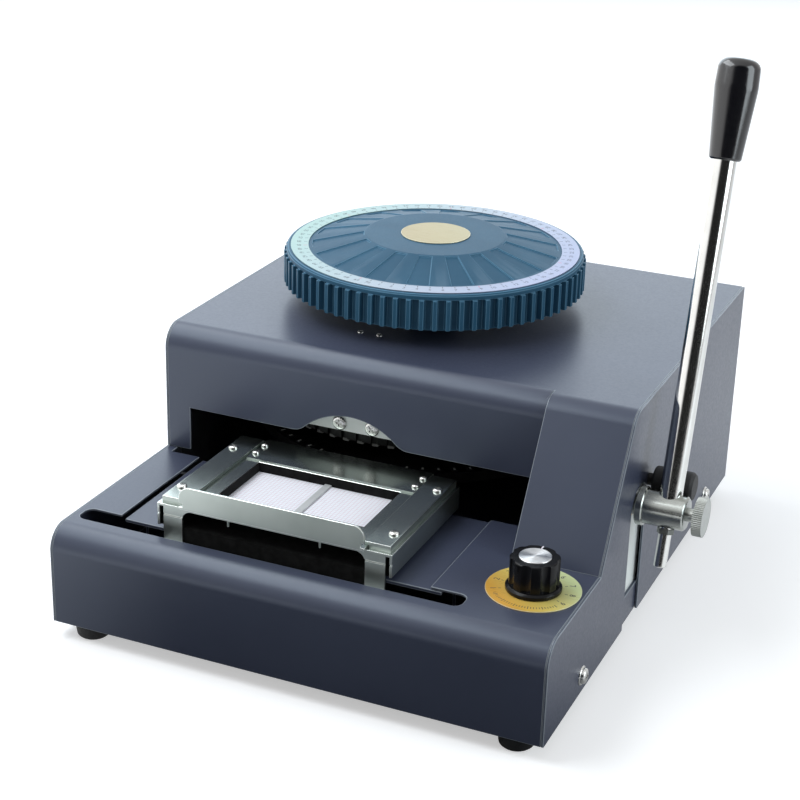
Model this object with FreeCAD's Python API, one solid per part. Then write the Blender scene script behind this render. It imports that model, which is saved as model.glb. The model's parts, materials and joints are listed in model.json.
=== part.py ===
import FreeCAD
import Part
import math
import os

# Hand-lever card embosser, in millimetres. The pieces are drawn from the casing's front left lower corner:
# x runs to the right, y to the back, z up. They are moved to the base centre when they are saved.
V = FreeCAD.Vector

# Casing
deck_height = 59.0
housing_height = 138.1
housing_front = 132.0
sheet = 1.5
bend_radius = 14.0
cheek_width = 53.0
end_room = 13.5
wheel_shift = 3.7
cheek_foot = 85.2
cheek_head_lead = 2.0
cheek_lap = 8.0
mouth_reach = 108.7
mouth_height = 28.0
arch_rise = 15.0
arch_radius = 44.0
arch_flare = 12.0
shaft_slot_start = 4.3
shaft_slot_width = 29.0
shaft_slot_corner = 13.0

# Base and feet
pan_thick = 2.0
pan_flange = 18.0
pan_gap = 0.3
foot_height = 10.0
foot_top_radius = 11.0
foot_tip_radius = 9.5
foot_cut = 1.5
foot_inset_x = 19.0
foot_inset_y = 13.0
screw_radius = 2.0
screw_head_radius = 4.6
screw_head_height = 2.4
head_cut = 0.6
washer_radius = 5.6
washer_thick = 0.8
foot_screw_bite = 2.5
back_head_gap = 0.2
top_screw_lead = 79.0
top_screw_steps = (-15.0, -2.5)
top_head_radius = 1.8
top_head_height = 0.9
top_shank_radius = 1.0
cover_screw_y = 60.5
cover_screw_z = 11.0

# Deck openings and the plate between them
front_slot_y = 20.4
front_slot_width = 14.0
front_slot_room = 6.7
front_slot_shift = -1.5
front_slot_corner = 5.2
rear_slot_depth = 7.1
rear_slot_room = 6.1
middle_end = 27.0
bridge_thick = 2.0
bridge_left_gap = 2.5
bridge_lap = 6.5
bridge_edge_gap = 0.4
bridge_leg_front = 22.0
bridge_leg_rear = 12.0

# Clearances
slide_gap = 0.1
fit_gap = 0.3
run_gap = 0.05

# Mechanism frame
left_plate_thick = 5.0
right_plate_thick = 6.0
plate_front_gap = 2.0
plate_rear_gap = 8.0
beam_thick = 8.0
beam_top_gap = 3.5
beam_front = 7.0
beam_depth = 16.0
spindle_bridge_half = 26.0
bush_wall = 2.5

# Type wheel
disc_gap = 2.2
disc_rear_gap = 1.7
emboss_setback = 18.6
punch_inset = 5.0
punch_count = 70
punch_width = 4.0
punch_depth = 6.0
die_disc_thick = 6.5
die_disc_gap = 0.5
die_rise = 0.9
emboss_gap = 12.1
punch_tip_drop = 2.0
type_disc_thick = 7.0
punch_head_rise = 2.0
spindle_radius = 9.0
disc_hub_radius = 22.0
disc_hub_height = 10.0
footstep_radius = 20.0
footstep_height = 20.0
footstep_floor = 3.0

# Dial
dial_gap = 11.9
dial_rim_height = 23.2
dial_rib_radius = 96.0
dial_groove_radius = 92.0
dial_lip_radius = 94.5
dial_rib_count = 75
dial_rib_bottom = 1.0
dial_rib_top = 3.5
dial_rib_foot_share = 0.5
dial_rib_tip_share = 0.32
dial_rib_root = 1.0
dial_wall = 4.0
dial_lip_cut = 1.0
dial_inner_cut = 2.0
ring_outer_radius = 91.8
ring_inner_radius = 80.5
ring_thick = 0.6
crown_foot_radius = 79.5
crown_radius = 44.0
crown_rise = 8.2
crown_rounding = 3.0
panel_pairs = 18
panel_depth = 0.8
panel_margin = 1.5
dial_hub_radius = 16.0
dial_hub_drop = 11.0
dial_hole_gap = 4.0
badge_radius = 22.0
badge_thick = 0.6

# Handle
shaft_lead = 17.0
shaft_rise = 17.0
shaft_radius = 6.0
shaft_tip_gap = 2.0
handle_lean = 15.9
collar_gap = 0.5
collar_thick = 4.4
collar_radius = 11.4
collar_cut = 0.6
hub_radius = 10.0
hub_length = 24.1
hub_cut = 1.2
rod_place = 13.1
rod_radius = 6.7
rod_length = 243.4
stub_radius = 3.75
stub_length = 33.0
stub_cut = 0.6
nut_radius = 5.0
nut_thick = 3.0
grip_hold = 44.0
grip_over = 12.0
grip_foot_radius = 9.0
grip_radius = 12.2
grip_tip_radius = 11.6
grip_belly = 16.0
grip_belly_rounding = 30.0
grip_foot_cut = 1.0
grip_tip_rounding = 6.0
clamp_neck = 5.0
clamp_stem_radius = 4.0
clamp_radius = 11.3
clamp_length = 5.7
clamp_ridges = 60
clamp_ridge_depth = 0.35
clamp_ridge_foot_share = 0.8
clamp_ridge_tip_share = 0.3
bumper_radius = 12.0
bumper_length = 26.0
bumper_stud_radius = 5.0
bumper_stud_length = 4.0
bumper_foot_cut = 1.0
bumper_tip_cut = 2.0
bearing_block_thick = 9.0
bearing_block_half = 22.0
bearing_block_rise = 14.0

# Press
arm_drop = 15.0
arm_reach = 50.0
arm_setback = 49.0
arm_shaft_radius = 7.0
arm_hub_radius = 12.0
arm_nose_radius = 5.0
arm_width = 10.0
arm_shaft_end = 2.0
cam_place = 9.0
cam_width = 10.0
cam_radius = 20.0
cam_phase = 100.0
handle_pull = 66.0
cam_gap = 0.6
follower_pad_radius = 6.0
ram_width = 8.0
ram_front = 5.95
ram_rear = 4.0
ram_stroke = 4.0
guide_half = 18.5
guide_front = 8.0
guide_rear = 8.0
guide_gap = 1.0
guide_window_half = 6.5
guide_window_gap = 1.0
cover_plate_half = 40.0
cover_plate_thick = 1.5
cover_plate_drop = 1.5
cover_plate_top_gap = 12.0
cover_plate_screw_half = 10.7
cover_plate_screw_z = 4.8
cover_plate_screw_head = 1.5
anvil_half = 12.0
anvil_foot_half = 20.0
anvil_foot_height = 10.0
anvil_depth_half = 8.0
anvil_rounding = 4.0
spring_thick = 0.8
spring_inset = 1.0
spring_slant = 10.0
spring_foot = 14.0

# Carriage
carriage_margin = 15.5
leg_inset = 4.0
carriage_rise = 15.0
carriage_travel = 43.0
carriage_skirt_gap = 1.2
front_leg_lead = 11.1
rear_leg_lead = 5.0
leg_width = 12.0
leg_band = 0.6
leg_corner = 6.0
leg_rounding = 1.0
leg_flange = 6.0
leg_groove = 0.8
rod_drop = 14.5
guide_rod_radius = 3.5
slider_depth = 11.5
slider_half_height = 7.0
bracket_half = 7.0
bracket_rounding = 6.3
left_bracket_thick = 4.0
right_bracket_thick = 5.0
bracket_right_gap = 2.0
strip_inset = 2.0
strip_lap = 2.0
strip_thick = 2.0
strip_front = 2.5
strip_outer_rounding = 0.6
strip_inner_rounding = 0.4
strip_screw_inset = 6.5
strip_screw_front = 17.1
strip_screw_rear = 18.4
strip_shank_radius = 1.5
small_head_radius = 3.0
small_head_height = 1.6

# Feed
gear_module = 1.5
gear_teeth = 20
gear_pressure = 20.0
gear_root_share = 1.25
gear_flank_steps = 4
gear_backlash = 0.4
gear_gap = 0.15
gear_thick = 6.0
gear_rise = 1.0
rack_bar = 4.0
rack_teeth = 20
stud_radius = 4.0
stud_flange_radius = 8.0
stud_end = 2.0
stud_flange_cut = 1.0
stud_cut = 0.8

# Tray
tray_half = 57.5
tray_front = 29.0
tray_rear = 133.0
tray_lip_height = 14.1
tray_lip_corner = 7.0
tray_pin_half = 28.6
tray_pin_lead = 5.0
tray_pin_radius = 0.7
tray_pin_length = 6.7
window_left = 45.5
window_right = 46.5
window_front = 53.0
window_rear = 103.0
pocket_wall = 1.5
pocket_ledge = 3.0
pocket_floor = 1.0
pocket_gap = 0.6
pocket_room = 2.0
insert_thick = 1.0
divider_width = 4.5
divider_height = 1.2
divider_rounding = 0.4
clamp_plate_gap = 1.0
clamp_plate_thick = 1.0
clamp_plate_lead = 1.0
tray_screw_inset = 2.5
tray_screw_front = 7.5
tray_screw_step = 11.7
tray_head_radius = 2.3
tray_shank_radius = 1.2

# Spacing knob
knob_inset = 29.2
knob_y = 56.5
scale_radius = 26.2
scale_thick = 0.6
knob_skirt_radius = 15.5
knob_skirt_height = 3.0
knob_skirt_cut = 1.2
knob_radius = 13.75
knob_flute_radius = 4.5
knob_flute_depth = 1.3
knob_flutes = 8
knob_top_cut = 0.6
knob_height = 19.0
knob_cap_radius = 9.0
knob_cap_rise = 0.6
knob_cap_cut = 0.3
knob_spindle_radius = 3.0
knob_spindle_hole = 5.0
knob_spindle_reach = 12.0
knob_post_radius = 9.0
knob_post_height = 24.0
knob_spindle_seat = 8.0
knob_cam_radius = 10.0
knob_cam_throw = 3.0
knob_cam_thick = 6.0
knob_cam_gap = 6.0

# Places worked out from the sizes
carriage_half = tray_half + carriage_margin
leg_outer = carriage_half - leg_inset
leg_inner = leg_outer - leg_width
wheel_x = leg_outer + carriage_travel + end_room
cheek_left = 2 * wheel_x - wheel_shift
body_width = cheek_left + cheek_width
left_plate_x = sheet + pan_gap + pan_thick
right_plate_x = cheek_left - bracket_right_gap - right_plate_thick
disc_radius = right_plate_x - wheel_x - disc_gap
punch_circle = disc_radius - punch_inset
emboss_y = housing_front + emboss_setback
wheel_y = emboss_y + punch_circle
back_inset = washer_thick + screw_head_height + back_head_gap
body_depth = wheel_y + disc_radius + disc_rear_gap + sheet + back_inset
back_face = body_depth - back_inset
inner_top = housing_height - sheet
cheek_head = housing_front + cheek_head_lead
mouth_top = deck_height + mouth_height
beam_top = inner_top - beam_top_gap
beam_bottom = beam_top - beam_thick

die_disc_z = deck_height + die_disc_gap
die_top = die_disc_z + die_disc_thick + die_rise
punch_bottom = die_top + emboss_gap
type_disc_z = punch_bottom + punch_tip_drop
punch_top = type_disc_z + type_disc_thick + punch_head_rise

dial_bottom = housing_height + dial_gap
dial_ring_z = dial_bottom + dial_rim_height
dial_top = dial_ring_z + crown_rise

shaft_y = housing_front + shaft_lead
shaft_z = deck_height + shaft_rise
collar_x = body_width + collar_gap
hub_x = collar_x + collar_thick
rod_x = hub_x + rod_place
hub_end = hub_x + hub_length
grip_start = rod_length - grip_hold
grip_end = rod_length + grip_over
clamp_stem = hub_end - rod_x - rod_radius - fit_gap
clamp_x = hub_end + clamp_neck
right_reach = clamp_x + clamp_length
pan_inner_right = body_width - sheet - pan_gap - pan_thick
bearing_x = pan_inner_right - bearing_block_thick

arm_y = emboss_y + arm_setback
arm_z = inner_top - arm_drop
arm_nose_y = arm_y - arm_reach
arm_nose_z = arm_z - arm_hub_radius + arm_nose_radius
ram_top = arm_z - arm_hub_radius - fit_gap
ram_bottom = punch_top + ram_stroke + fit_gap
guide_bottom = punch_top + guide_gap
guide_window_low = ram_top - ram_stroke - guide_window_gap
cam_x = cheek_left + cam_place
cam_swing = math.cos(math.radians(cam_phase - handle_pull)) - math.cos(math.radians(cam_phase))
cam_throw = ram_stroke * (arm_z - shaft_z) / arm_reach / cam_swing
cam_reach = cam_radius - cam_throw * math.cos(math.radians(180 - cam_phase))
follower_y = shaft_y + cam_reach + cam_gap + follower_pad_radius

front_leg_y = front_slot_y + front_leg_lead
rear_leg_y = housing_front - rear_leg_lead
guide_rod_z = deck_height - rod_drop
front_rod_y = front_leg_y - slider_depth / 2
rear_rod_y = rear_leg_y - slider_depth / 2
bracket_right_x = cheek_left - bracket_right_gap - right_bracket_thick
carriage_top = deck_height + carriage_rise
leg_bottom = guide_rod_z - slider_half_height
rack_y = front_leg_y + sheet
rack_pitch_y = rack_y + rack_bar + gear_root_share * gear_module
gear_radius = gear_module * gear_teeth / 2
pinion_y = rack_pitch_y + gear_radius + gear_gap
gear_z = guide_rod_z - gear_thick + gear_rise

tray_bottom = carriage_top + slide_gap
tray_top = tray_bottom + sheet
strip_seat = tray_top + 2 * slide_gap
strip_top = strip_seat + strip_thick
clamp_plate_half = tray_half - strip_lap - clamp_plate_gap
pocket_z = die_top + pocket_gap
insert_z = pocket_z + pocket_floor
knob_x = body_width - knob_inset
knob_bottom = deck_height + scale_thick + fit_gap

screw_shank = sheet + pan_gap + pan_thick
left_reach = -(washer_thick + screw_head_height)
origin_x = (left_reach + right_reach) / 2
origin_y = body_depth / 2


# Drawing helpers
def in_space(plane, u, v, at):
    if plane == "yz":
        return V(at, u, v)
    if plane == "xz":
        return V(u, at, v)
    return V(u, v, at)


def along(plane):
    return {"yz": V(1, 0, 0), "xz": V(0, 1, 0), "xy": V(0, 0, 1)}[plane]


def outline(plane, at, corners):
    """A closed wire through (u, v, size) corners: a positive size rounds one, a negative size cuts it."""
    rounds = []
    for index, (u, v, radius) in enumerate(corners):
        before = corners[index - 1]
        after = corners[(index + 1) % len(corners)]
        corner = V(u, v, 0)
        back = V(before[0] - u, before[1] - v, 0).normalize()
        ahead = V(after[0] - u, after[1] - v, 0).normalize()
        if radius <= 0:
            rounds.append((corner - back * radius, None, corner - ahead * radius))
            continue
        half = back.getAngle(ahead) / 2
        reach = radius / math.tan(half)
        middle = (back + ahead).normalize()
        centre = corner + middle * (radius / math.sin(half))
        rounds.append((corner + back * reach, centre - middle * radius, corner + ahead * reach))
    edges = []
    for index, (start, middle, end) in enumerate(rounds):
        start, end = in_space(plane, start.x, start.y, at), in_space(plane, end.x, end.y, at)
        if middle is not None:
            edges.append(Part.Arc(start, in_space(plane, middle.x, middle.y, at), end).toShape())
        elif (end - start).Length > 1e-6:
            edges.append(Part.LineSegment(start, end).toShape())
        following = rounds[(index + 1) % len(rounds)][0]
        following = in_space(plane, following.x, following.y, at)
        if (following - end).Length > 1e-6:
            edges.append(Part.LineSegment(end, following).toShape())
    return Part.Wire(edges)


def plate(plane, low, high, corners):
    """A plate from low to high across the plane, with the outline's rounded corners."""
    return Part.Face(outline(plane, low, corners)).extrude(along(plane) * (high - low))


def rectangle(u0, u1, v0, v1, radius=0.0):
    return [(u0, v0, radius), (u1, v0, radius), (u1, v1, radius), (u0, v1, radius)]


def block(x0, x1, y0, y1, z0, z1):
    return Part.makeBox(x1 - x0, y1 - y0, z1 - z0, V(x0, y0, z0))


def bar_x(x0, x1, y, z, radius):
    return Part.makeCylinder(radius, x1 - x0, V(x0, y, z), V(1, 0, 0))


def bar_y(y0, y1, x, z, radius):
    return Part.makeCylinder(radius, y1 - y0, V(x, y0, z), V(0, 1, 0))


def bar_z(z0, z1, x, y, radius):
    return Part.makeCylinder(radius, z1 - z0, V(x, y, z0), V(0, 0, 1))


def turned(corners, place, axis):
    """A lathe-turned solid from (height, radius, size) corners, stood along the axis at its place."""
    face = Part.Face(outline("xz", 0, [(radius, height, size) for height, radius, size in corners]))
    solid = face.revolve(V(0, 0, 0), V(0, 0, 1), 360)
    turn = FreeCAD.Rotation(V(0, 0, 1), axis)
    solid.Placement = FreeCAD.Placement(place, turn)
    return solid


def toothed(x, y, low, high, count, root, tip, root_share, tip_share):
    """A ring of straight teeth; the shares are the parts of one pitch that a tooth fills at root and tip."""
    pitch = 2 * math.pi / count
    points = []
    for index in range(count):
        for radius, share in ((root, -root_share), (tip, -tip_share), (tip, tip_share), (root, root_share)):
            angle = (index + share / 2) * pitch
            points.append(V(x + radius * math.cos(angle), y + radius * math.sin(angle), low))
    return Part.Face(Part.makePolygon(points + points[:1])).extrude(V(0, 0, high - low))


def round_copies(solid, count, x, y):
    copies = []
    for index in range(count):
        copy = solid.copy()
        copy.rotate(V(x, y, 0), V(0, 0, 1), 360.0 * index / count)
        copies.append(copy)
    return copies


def pan_head(place, axis, head_radius, head_height, shank_radius, shank, washer=0.0):
    """A domed screw on its seat at place, with its head along the axis and an optional washer."""
    corners = [(-shank, 0, 0), (-shank, shank_radius, 0), (0, shank_radius, 0)]
    if washer > 0:
        corners += [(0, washer, 0), (washer_thick, washer, 0), (washer_thick, head_radius, 0)]
    else:
        corners += [(0, head_radius, 0)]
    seat = washer_thick if washer > 0 else 0.0
    corners += [(seat + head_height, head_radius, -head_height * head_cut), (seat + head_height, 0, 0)]
    return turned(corners, place, axis)


def leaned(solid):
    """Tilts a piece drawn along z at the origin back by the handle's lean and sets it on the hub."""
    solid.rotate(V(0, 0, 0), V(1, 0, 0), -handle_lean)
    solid.translate(V(rod_x, shaft_y, shaft_z))
    return solid


def save(name, *solids):
    shape = solids[0] if len(solids) == 1 else Part.makeCompound(list(solids))
    shape = shape.copy()
    shape.translate(V(-origin_x, -origin_y, foot_height))
    shape.exportStep("parts/" + name + ".step")
    print(name, len(shape.Solids), "solids", round(shape.Volume), "mm3")


# Base pan, feet and their screws
def foot_places():
    rear = back_face - sheet
    ys = (foot_inset_y, rear - foot_inset_y)
    return [(x, y) for x in (foot_inset_x, body_width - foot_inset_x) for y in ys]


def make_base():
    low = sheet + pan_gap
    high = body_width - sheet - pan_gap
    rear = back_face - sheet - pan_gap
    pan = block(low, high, low, rear, 0, pan_flange)
    inside = low + pan_thick
    pan = pan.cut(block(inside, high - pan_thick, inside, rear - pan_thick, pan_thick, pan_flange))
    feet, screws = [], []
    for x, y in foot_places():
        pan = pan.cut(bar_z(0, pan_thick, x, y, screw_radius))
        profile = [(-foot_height, 0, 0), (-foot_height, foot_tip_radius, -foot_cut),
                   (0, foot_top_radius, 0), (0, 0, 0)]
        foot = turned(profile, V(x, y, 0), V(0, 0, 1))
        feet.append(foot.cut(bar_z(-foot_screw_bite, 0, x, y, screw_radius)))
        screws.append(pan_head(V(x, y, pan_thick), V(0, 0, 1), screw_head_radius, screw_head_height,
                               screw_radius, pan_thick + foot_screw_bite))
    for place, axis in side_screw_places():
        pan = pan.cut(Part.makeCylinder(screw_radius, 2 * screw_shank, place + axis, axis * -1))
    save("base_pan", pan)
    save("rubber_feet", *feet)
    save("foot_screws", *screws)


# Casing sheets
def side_screw_places():
    ys = (cover_screw_y, body_depth - cover_screw_y)
    places = [(V(body_width, y, cover_screw_z), V(1, 0, 0)) for y in ys]
    places += [(V(0, y, cover_screw_z), V(-1, 0, 0)) for y in ys]
    xs = (cover_screw_y, body_width - cover_screw_y)
    places += [(V(x, back_face, cover_screw_z), V(0, 1, 0)) for x in xs]
    return places


def top_screw_places():
    return [V(wheel_x + step, wheel_y - top_screw_lead, housing_height) for step in top_screw_steps]


def deck_cuts():
    slot_rear = front_slot_y + front_slot_width
    reach = leg_outer + carriage_travel
    front_reach = reach + front_slot_room
    front_middle = wheel_x + front_slot_shift
    front = plate("xy", deck_height - 2 * sheet, deck_height + sheet,
                  rectangle(front_middle - front_reach, front_middle + front_reach, front_slot_y, slot_rear,
                            front_slot_corner))
    rear_reach = reach + rear_slot_room
    rear = block(wheel_x - rear_reach, wheel_x + rear_reach, housing_front - rear_slot_depth, housing_front,
                 deck_height - 2 * sheet, deck_height + sheet)
    middle = block(middle_end, cheek_left - middle_end, slot_rear - front_slot_width / 2,
                   housing_front - rear_slot_depth / 2, deck_height - 2 * sheet, deck_height + sheet)
    under_cheek = block(cheek_left + 2 * sheet, body_width, cheek_foot + cheek_lap, housing_front,
                        deck_height - 2 * sheet, deck_height + sheet)
    spindle = bar_z(deck_height - 2 * sheet, deck_height + sheet, knob_x, knob_y, knob_spindle_hole)
    return [front, rear, middle, under_cheek, spindle]


def make_deck():
    profile = [(0, 0, 0), (0, deck_height, bend_radius), (housing_front, deck_height, 0),
               (housing_front, deck_height - sheet, 0), (sheet, deck_height - sheet, bend_radius - sheet),
               (sheet, 0, 0)]
    cover = plate("yz", sheet, body_width - sheet, profile)
    save("front_deck_cover", cover.cut(deck_cuts()))


def make_bridge():
    top = deck_height - sheet - fit_gap
    low = top - bridge_thick
    left = middle_end + bridge_left_gap
    right = cheek_left - middle_end + bridge_lap
    front = front_slot_y + front_slot_width - bridge_edge_gap
    rear = housing_front - rear_slot_depth - bridge_edge_gap
    bridge = block(left, right, front, rear, low, top)
    for x in (left, right - bridge_thick):
        leg = block(x, x + bridge_thick, front + bridge_leg_front, rear - bridge_leg_rear, pan_thick, low)
        bridge = bridge.fuse(leg)
    save("deck_bridge", bridge.removeSplitter())


def make_side_panels():
    start = [(0, 0, 0), (body_depth, 0, 0), (body_depth, housing_height, 0)]
    end = [(0, deck_height, bend_radius)]
    left = start + [(housing_front, housing_height, bend_radius), (housing_front, deck_height, 0)] + end
    right = start + [(cheek_head, housing_height, bend_radius), (cheek_foot, deck_height, 0)] + end
    slot_front = housing_front + shaft_slot_start
    slot = plate("yz", body_width - 2 * sheet, body_width + sheet,
                 [(slot_front, -sheet, 0), (slot_front + shaft_slot_width, -sheet, 0),
                  (slot_front + shaft_slot_width, mouth_top, shaft_slot_corner),
                  (slot_front, mouth_top, shaft_slot_corner)])
    holes = [Part.makeCylinder(screw_radius, 2 * screw_shank, place + axis, axis * -1)
             for place, axis in side_screw_places()]
    bumper_y, bumper_z = bumper_centre()
    holes.append(bar_x(body_width - 2 * sheet, body_width + sheet, bumper_y, bumper_z, screw_radius))
    save("left_side_panel", plate("yz", 0, sheet, left).cut(holes))
    save("right_side_panel", plate("yz", body_width - sheet, body_width, right).cut(holes + [slot]))


def arch_cut():
    """The mouth with the flared arch over the press, as one cutting solid through the front face."""
    low, high = housing_front - sheet, housing_front + 2 * sheet
    mouth = block(wheel_x - mouth_reach, cheek_left, low, high, deck_height - sheet, mouth_top)
    centre_z = mouth_top + arch_rise - arch_radius
    reach = arch_radius + arch_flare
    flare_z = mouth_top + arch_flare
    flare_x = math.sqrt(reach ** 2 - (flare_z - centre_z) ** 2)
    touch_x = flare_x * arch_radius / reach
    touch_z = centre_z + (flare_z - centre_z) * arch_radius / reach
    lean = math.atan2(flare_x, flare_z - centre_z)
    bow_x = flare_x - arch_flare * math.sin(lean / 2)
    bow_z = flare_z - arch_flare * math.cos(lean / 2)

    def at(x, z):
        return V(wheel_x + x, low, z)

    edges = [Part.Arc(at(-flare_x, mouth_top), at(-bow_x, bow_z), at(-touch_x, touch_z)).toShape(),
             Part.Arc(at(-touch_x, touch_z), at(0, mouth_top + arch_rise), at(touch_x, touch_z)).toShape(),
             Part.Arc(at(touch_x, touch_z), at(bow_x, bow_z), at(flare_x, mouth_top)).toShape(),
             Part.LineSegment(at(flare_x, mouth_top), at(-flare_x, mouth_top)).toShape()]
    arch = Part.Face(Part.Wire(edges)).extrude(V(0, high - low, 0))
    return mouth.fuse(arch)


def make_housing():
    front = [(housing_front, deck_height, 0), (housing_front, housing_height, bend_radius),
             (body_depth, housing_height, 0), (body_depth, inner_top, 0),
             (housing_front + sheet, inner_top, bend_radius - sheet), (housing_front + sheet, deck_height, 0)]
    run = cheek_head - cheek_foot
    rise = housing_height - deck_height
    lead = sheet * math.hypot(run, rise) / rise
    inner_head = cheek_foot + lead + (rise - sheet) * run / rise
    cheek = [(cheek_foot, deck_height, 0), (cheek_head, housing_height, bend_radius),
             (body_depth, housing_height, 0), (body_depth, inner_top, 0),
             (inner_head, inner_top, bend_radius - sheet), (cheek_foot + lead, deck_height, 0)]
    wall = [(cheek_foot, deck_height, 0), (cheek_head, housing_height, bend_radius),
            (cheek_head + 2 * bend_radius, housing_height, 0), (housing_front + sheet, deck_height, 0)]
    cover = plate("yz", sheet, cheek_left + sheet, front)
    cover = cover.fuse(plate("yz", cheek_left, body_width - sheet, cheek))
    cover = cover.fuse(plate("yz", cheek_left, cheek_left + sheet, wall)).removeSplitter()
    cover = cover.cut(arch_cut())
    hub_hole = dial_hub_radius + dial_hole_gap
    cover = cover.cut(bar_z(inner_top - sheet, housing_height + sheet, wheel_x, wheel_y, hub_hole))
    for place in top_screw_places():
        cover = cover.cut(bar_z(inner_top - sheet, housing_height + sheet, place.x, place.y,
                                top_shank_radius))
    save("housing_cover", cover)


def make_back():
    back = block(sheet, body_width - sheet, back_face - sheet, back_face, 0, inner_top)
    holes = [Part.makeCylinder(screw_radius, 2 * screw_shank, place + axis, axis * -1)
             for place, axis in side_screw_places()]
    save("back_panel", back.cut(holes))


def make_cover_screws():
    screws = [pan_head(place, axis, screw_head_radius, screw_head_height, screw_radius,
                       screw_shank, washer_radius) for place, axis in side_screw_places()]
    screws += [pan_head(place, V(0, 0, 1), top_head_radius, top_head_height, top_shank_radius, sheet)
               for place in top_screw_places()]
    save("cover_screws", *screws)


# Fixed frame inside the casing
def bush_in_plate(x0, x1, y, z, radius):
    return bar_x(x0, x1, y, z, radius + bush_wall).cut(bar_x(x0, x1, y, z, radius + run_gap))


def make_frame():
    front = housing_front + plate_front_gap
    rear = back_face - sheet - plate_rear_gap
    left_end = left_plate_x + left_plate_thick
    right_end = right_plate_x + right_plate_thick
    side = [(front, pan_thick, 0), (rear, pan_thick, 0), (rear, beam_top, 0), (front, beam_top, -bend_radius)]
    left = plate("yz", left_plate_x, left_end, side)
    right = plate("yz", right_plate_x, right_end, side)
    arm_hole = arm_shaft_radius + bush_wall
    main_hole = shaft_radius + bush_wall
    save("left_frame_plate", left.cut(bar_x(left_plate_x, left_end, arm_y, arm_z, arm_hole)))
    right = right.cut(bar_x(right_plate_x, right_end, arm_y, arm_z, arm_hole))
    save("right_frame_plate", right.cut(bar_x(right_plate_x, right_end, shaft_y, shaft_z, main_hole)))
    spindle_hole = bar_z(beam_bottom, beam_top, wheel_x, wheel_y, spindle_radius + bush_wall)
    top = block(left_end, right_plate_x, wheel_y - spindle_bridge_half, wheel_y + spindle_bridge_half,
                beam_bottom, beam_top)
    save("top_bridge", top.cut(spindle_hole))
    beam_y = housing_front + beam_front
    save("press_beam", block(left_end, right_plate_x, beam_y, beam_y + beam_depth, beam_bottom, beam_top))
    bearing_end = bearing_x + bearing_block_thick
    bearing = block(bearing_x, bearing_end, shaft_y - bearing_block_half, shaft_y + bearing_block_half,
                    pan_thick, shaft_z + bearing_block_rise)
    save("shaft_bearing_block", bearing.cut(bar_x(bearing_x, bearing_end, shaft_y, shaft_z, main_hole)))
    footstep = turned([(0, 0, 0), (0, footstep_radius, 0), (footstep_height / 2, footstep_radius, 0),
                       (footstep_height, spindle_radius + bush_wall, 0), (footstep_height, 0, 0)],
                      V(wheel_x, wheel_y, pan_thick), V(0, 0, 1))
    seat = pan_thick + footstep_floor
    bore = spindle_radius + run_gap
    footstep = footstep.cut(bar_z(seat, pan_thick + footstep_height, wheel_x, wheel_y, bore))
    top_bush = spindle_hole.cut(bar_z(beam_bottom, beam_top, wheel_x, wheel_y, bore))
    save("bearing_bushes", footstep, top_bush,
         bush_in_plate(left_plate_x, left_end, arm_y, arm_z, arm_shaft_radius),
         bush_in_plate(right_plate_x, right_end, arm_y, arm_z, arm_shaft_radius),
         bush_in_plate(right_plate_x, right_end, shaft_y, shaft_z, shaft_radius),
         bush_in_plate(bearing_x, bearing_end, shaft_y, shaft_z, shaft_radius))


def make_press_seat():
    anvil_top = die_disc_z - fit_gap
    y0, y1 = emboss_y - anvil_depth_half, emboss_y + anvil_depth_half
    foot_top = pan_thick + anvil_foot_height
    half = [(anvil_foot_half, pan_thick, 0), (anvil_foot_half, foot_top, 0),
            (anvil_half, foot_top, anvil_rounding), (anvil_half, anvil_top, 0)]
    corners = [(wheel_x + u, v, radius) for u, v, radius in half]
    corners += [(wheel_x - u, v, radius) for u, v, radius in reversed(half)]
    save("anvil_block", plate("xz", y0, y1, corners))
    front, rear = emboss_y - guide_front, emboss_y + guide_rear
    guide = block(wheel_x - guide_half, wheel_x + guide_half, front, rear, guide_bottom, beam_bottom)
    channel = ram_width / 2 + run_gap
    guide = guide.cut(block(wheel_x - channel, wheel_x + channel, front, emboss_y + ram_rear + run_gap,
                            guide_bottom, beam_bottom))
    guide = guide.cut(block(wheel_x - guide_window_half, wheel_x + guide_window_half, front, rear,
                            guide_window_low, beam_bottom))
    low = punch_top - cover_plate_drop
    cover = block(wheel_x - cover_plate_half, wheel_x + cover_plate_half, front - cover_plate_thick, front,
                  low, beam_bottom - cover_plate_top_gap)
    face = front - cover_plate_thick
    screws = []
    for side in (-1, 1):
        place = V(wheel_x + side * cover_plate_screw_half, face, low + cover_plate_screw_z)
        hole = bar_y(face, front + screw_shank, place.x, place.z, screw_radius)
        cover = cover.cut(hole)
        guide = guide.cut(hole)
        screws.append(pan_head(place, V(0, -1, 0), screw_head_radius, cover_plate_screw_head, screw_radius,
                               cover_plate_thick + screw_shank))
    save("ram_guide", guide)
    save("ram_cover_plate", cover)
    save("ram_cover_screws", *screws)


# Type wheel: two discs with a ring of punches over a ring of dies, turned by the dial
def notched_disc(low, high):
    half = punch_width / 2
    floor = punch_circle - punch_depth / 2
    rim = math.sqrt(disc_radius ** 2 - half ** 2)
    points = []
    for index in range(punch_count):
        angle = 2 * math.pi * index / punch_count - math.pi / 2
        ahead = V(math.cos(angle), math.sin(angle), 0)
        aside = V(-math.sin(angle), math.cos(angle), 0)
        for reach, side in ((rim, -half), (floor, -half), (floor, half), (rim, half)):
            points.append(V(wheel_x, wheel_y, low) + ahead * reach + aside * side)
    return Part.Face(Part.makePolygon(points + points[:1])).extrude(V(0, 0, high - low))


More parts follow.
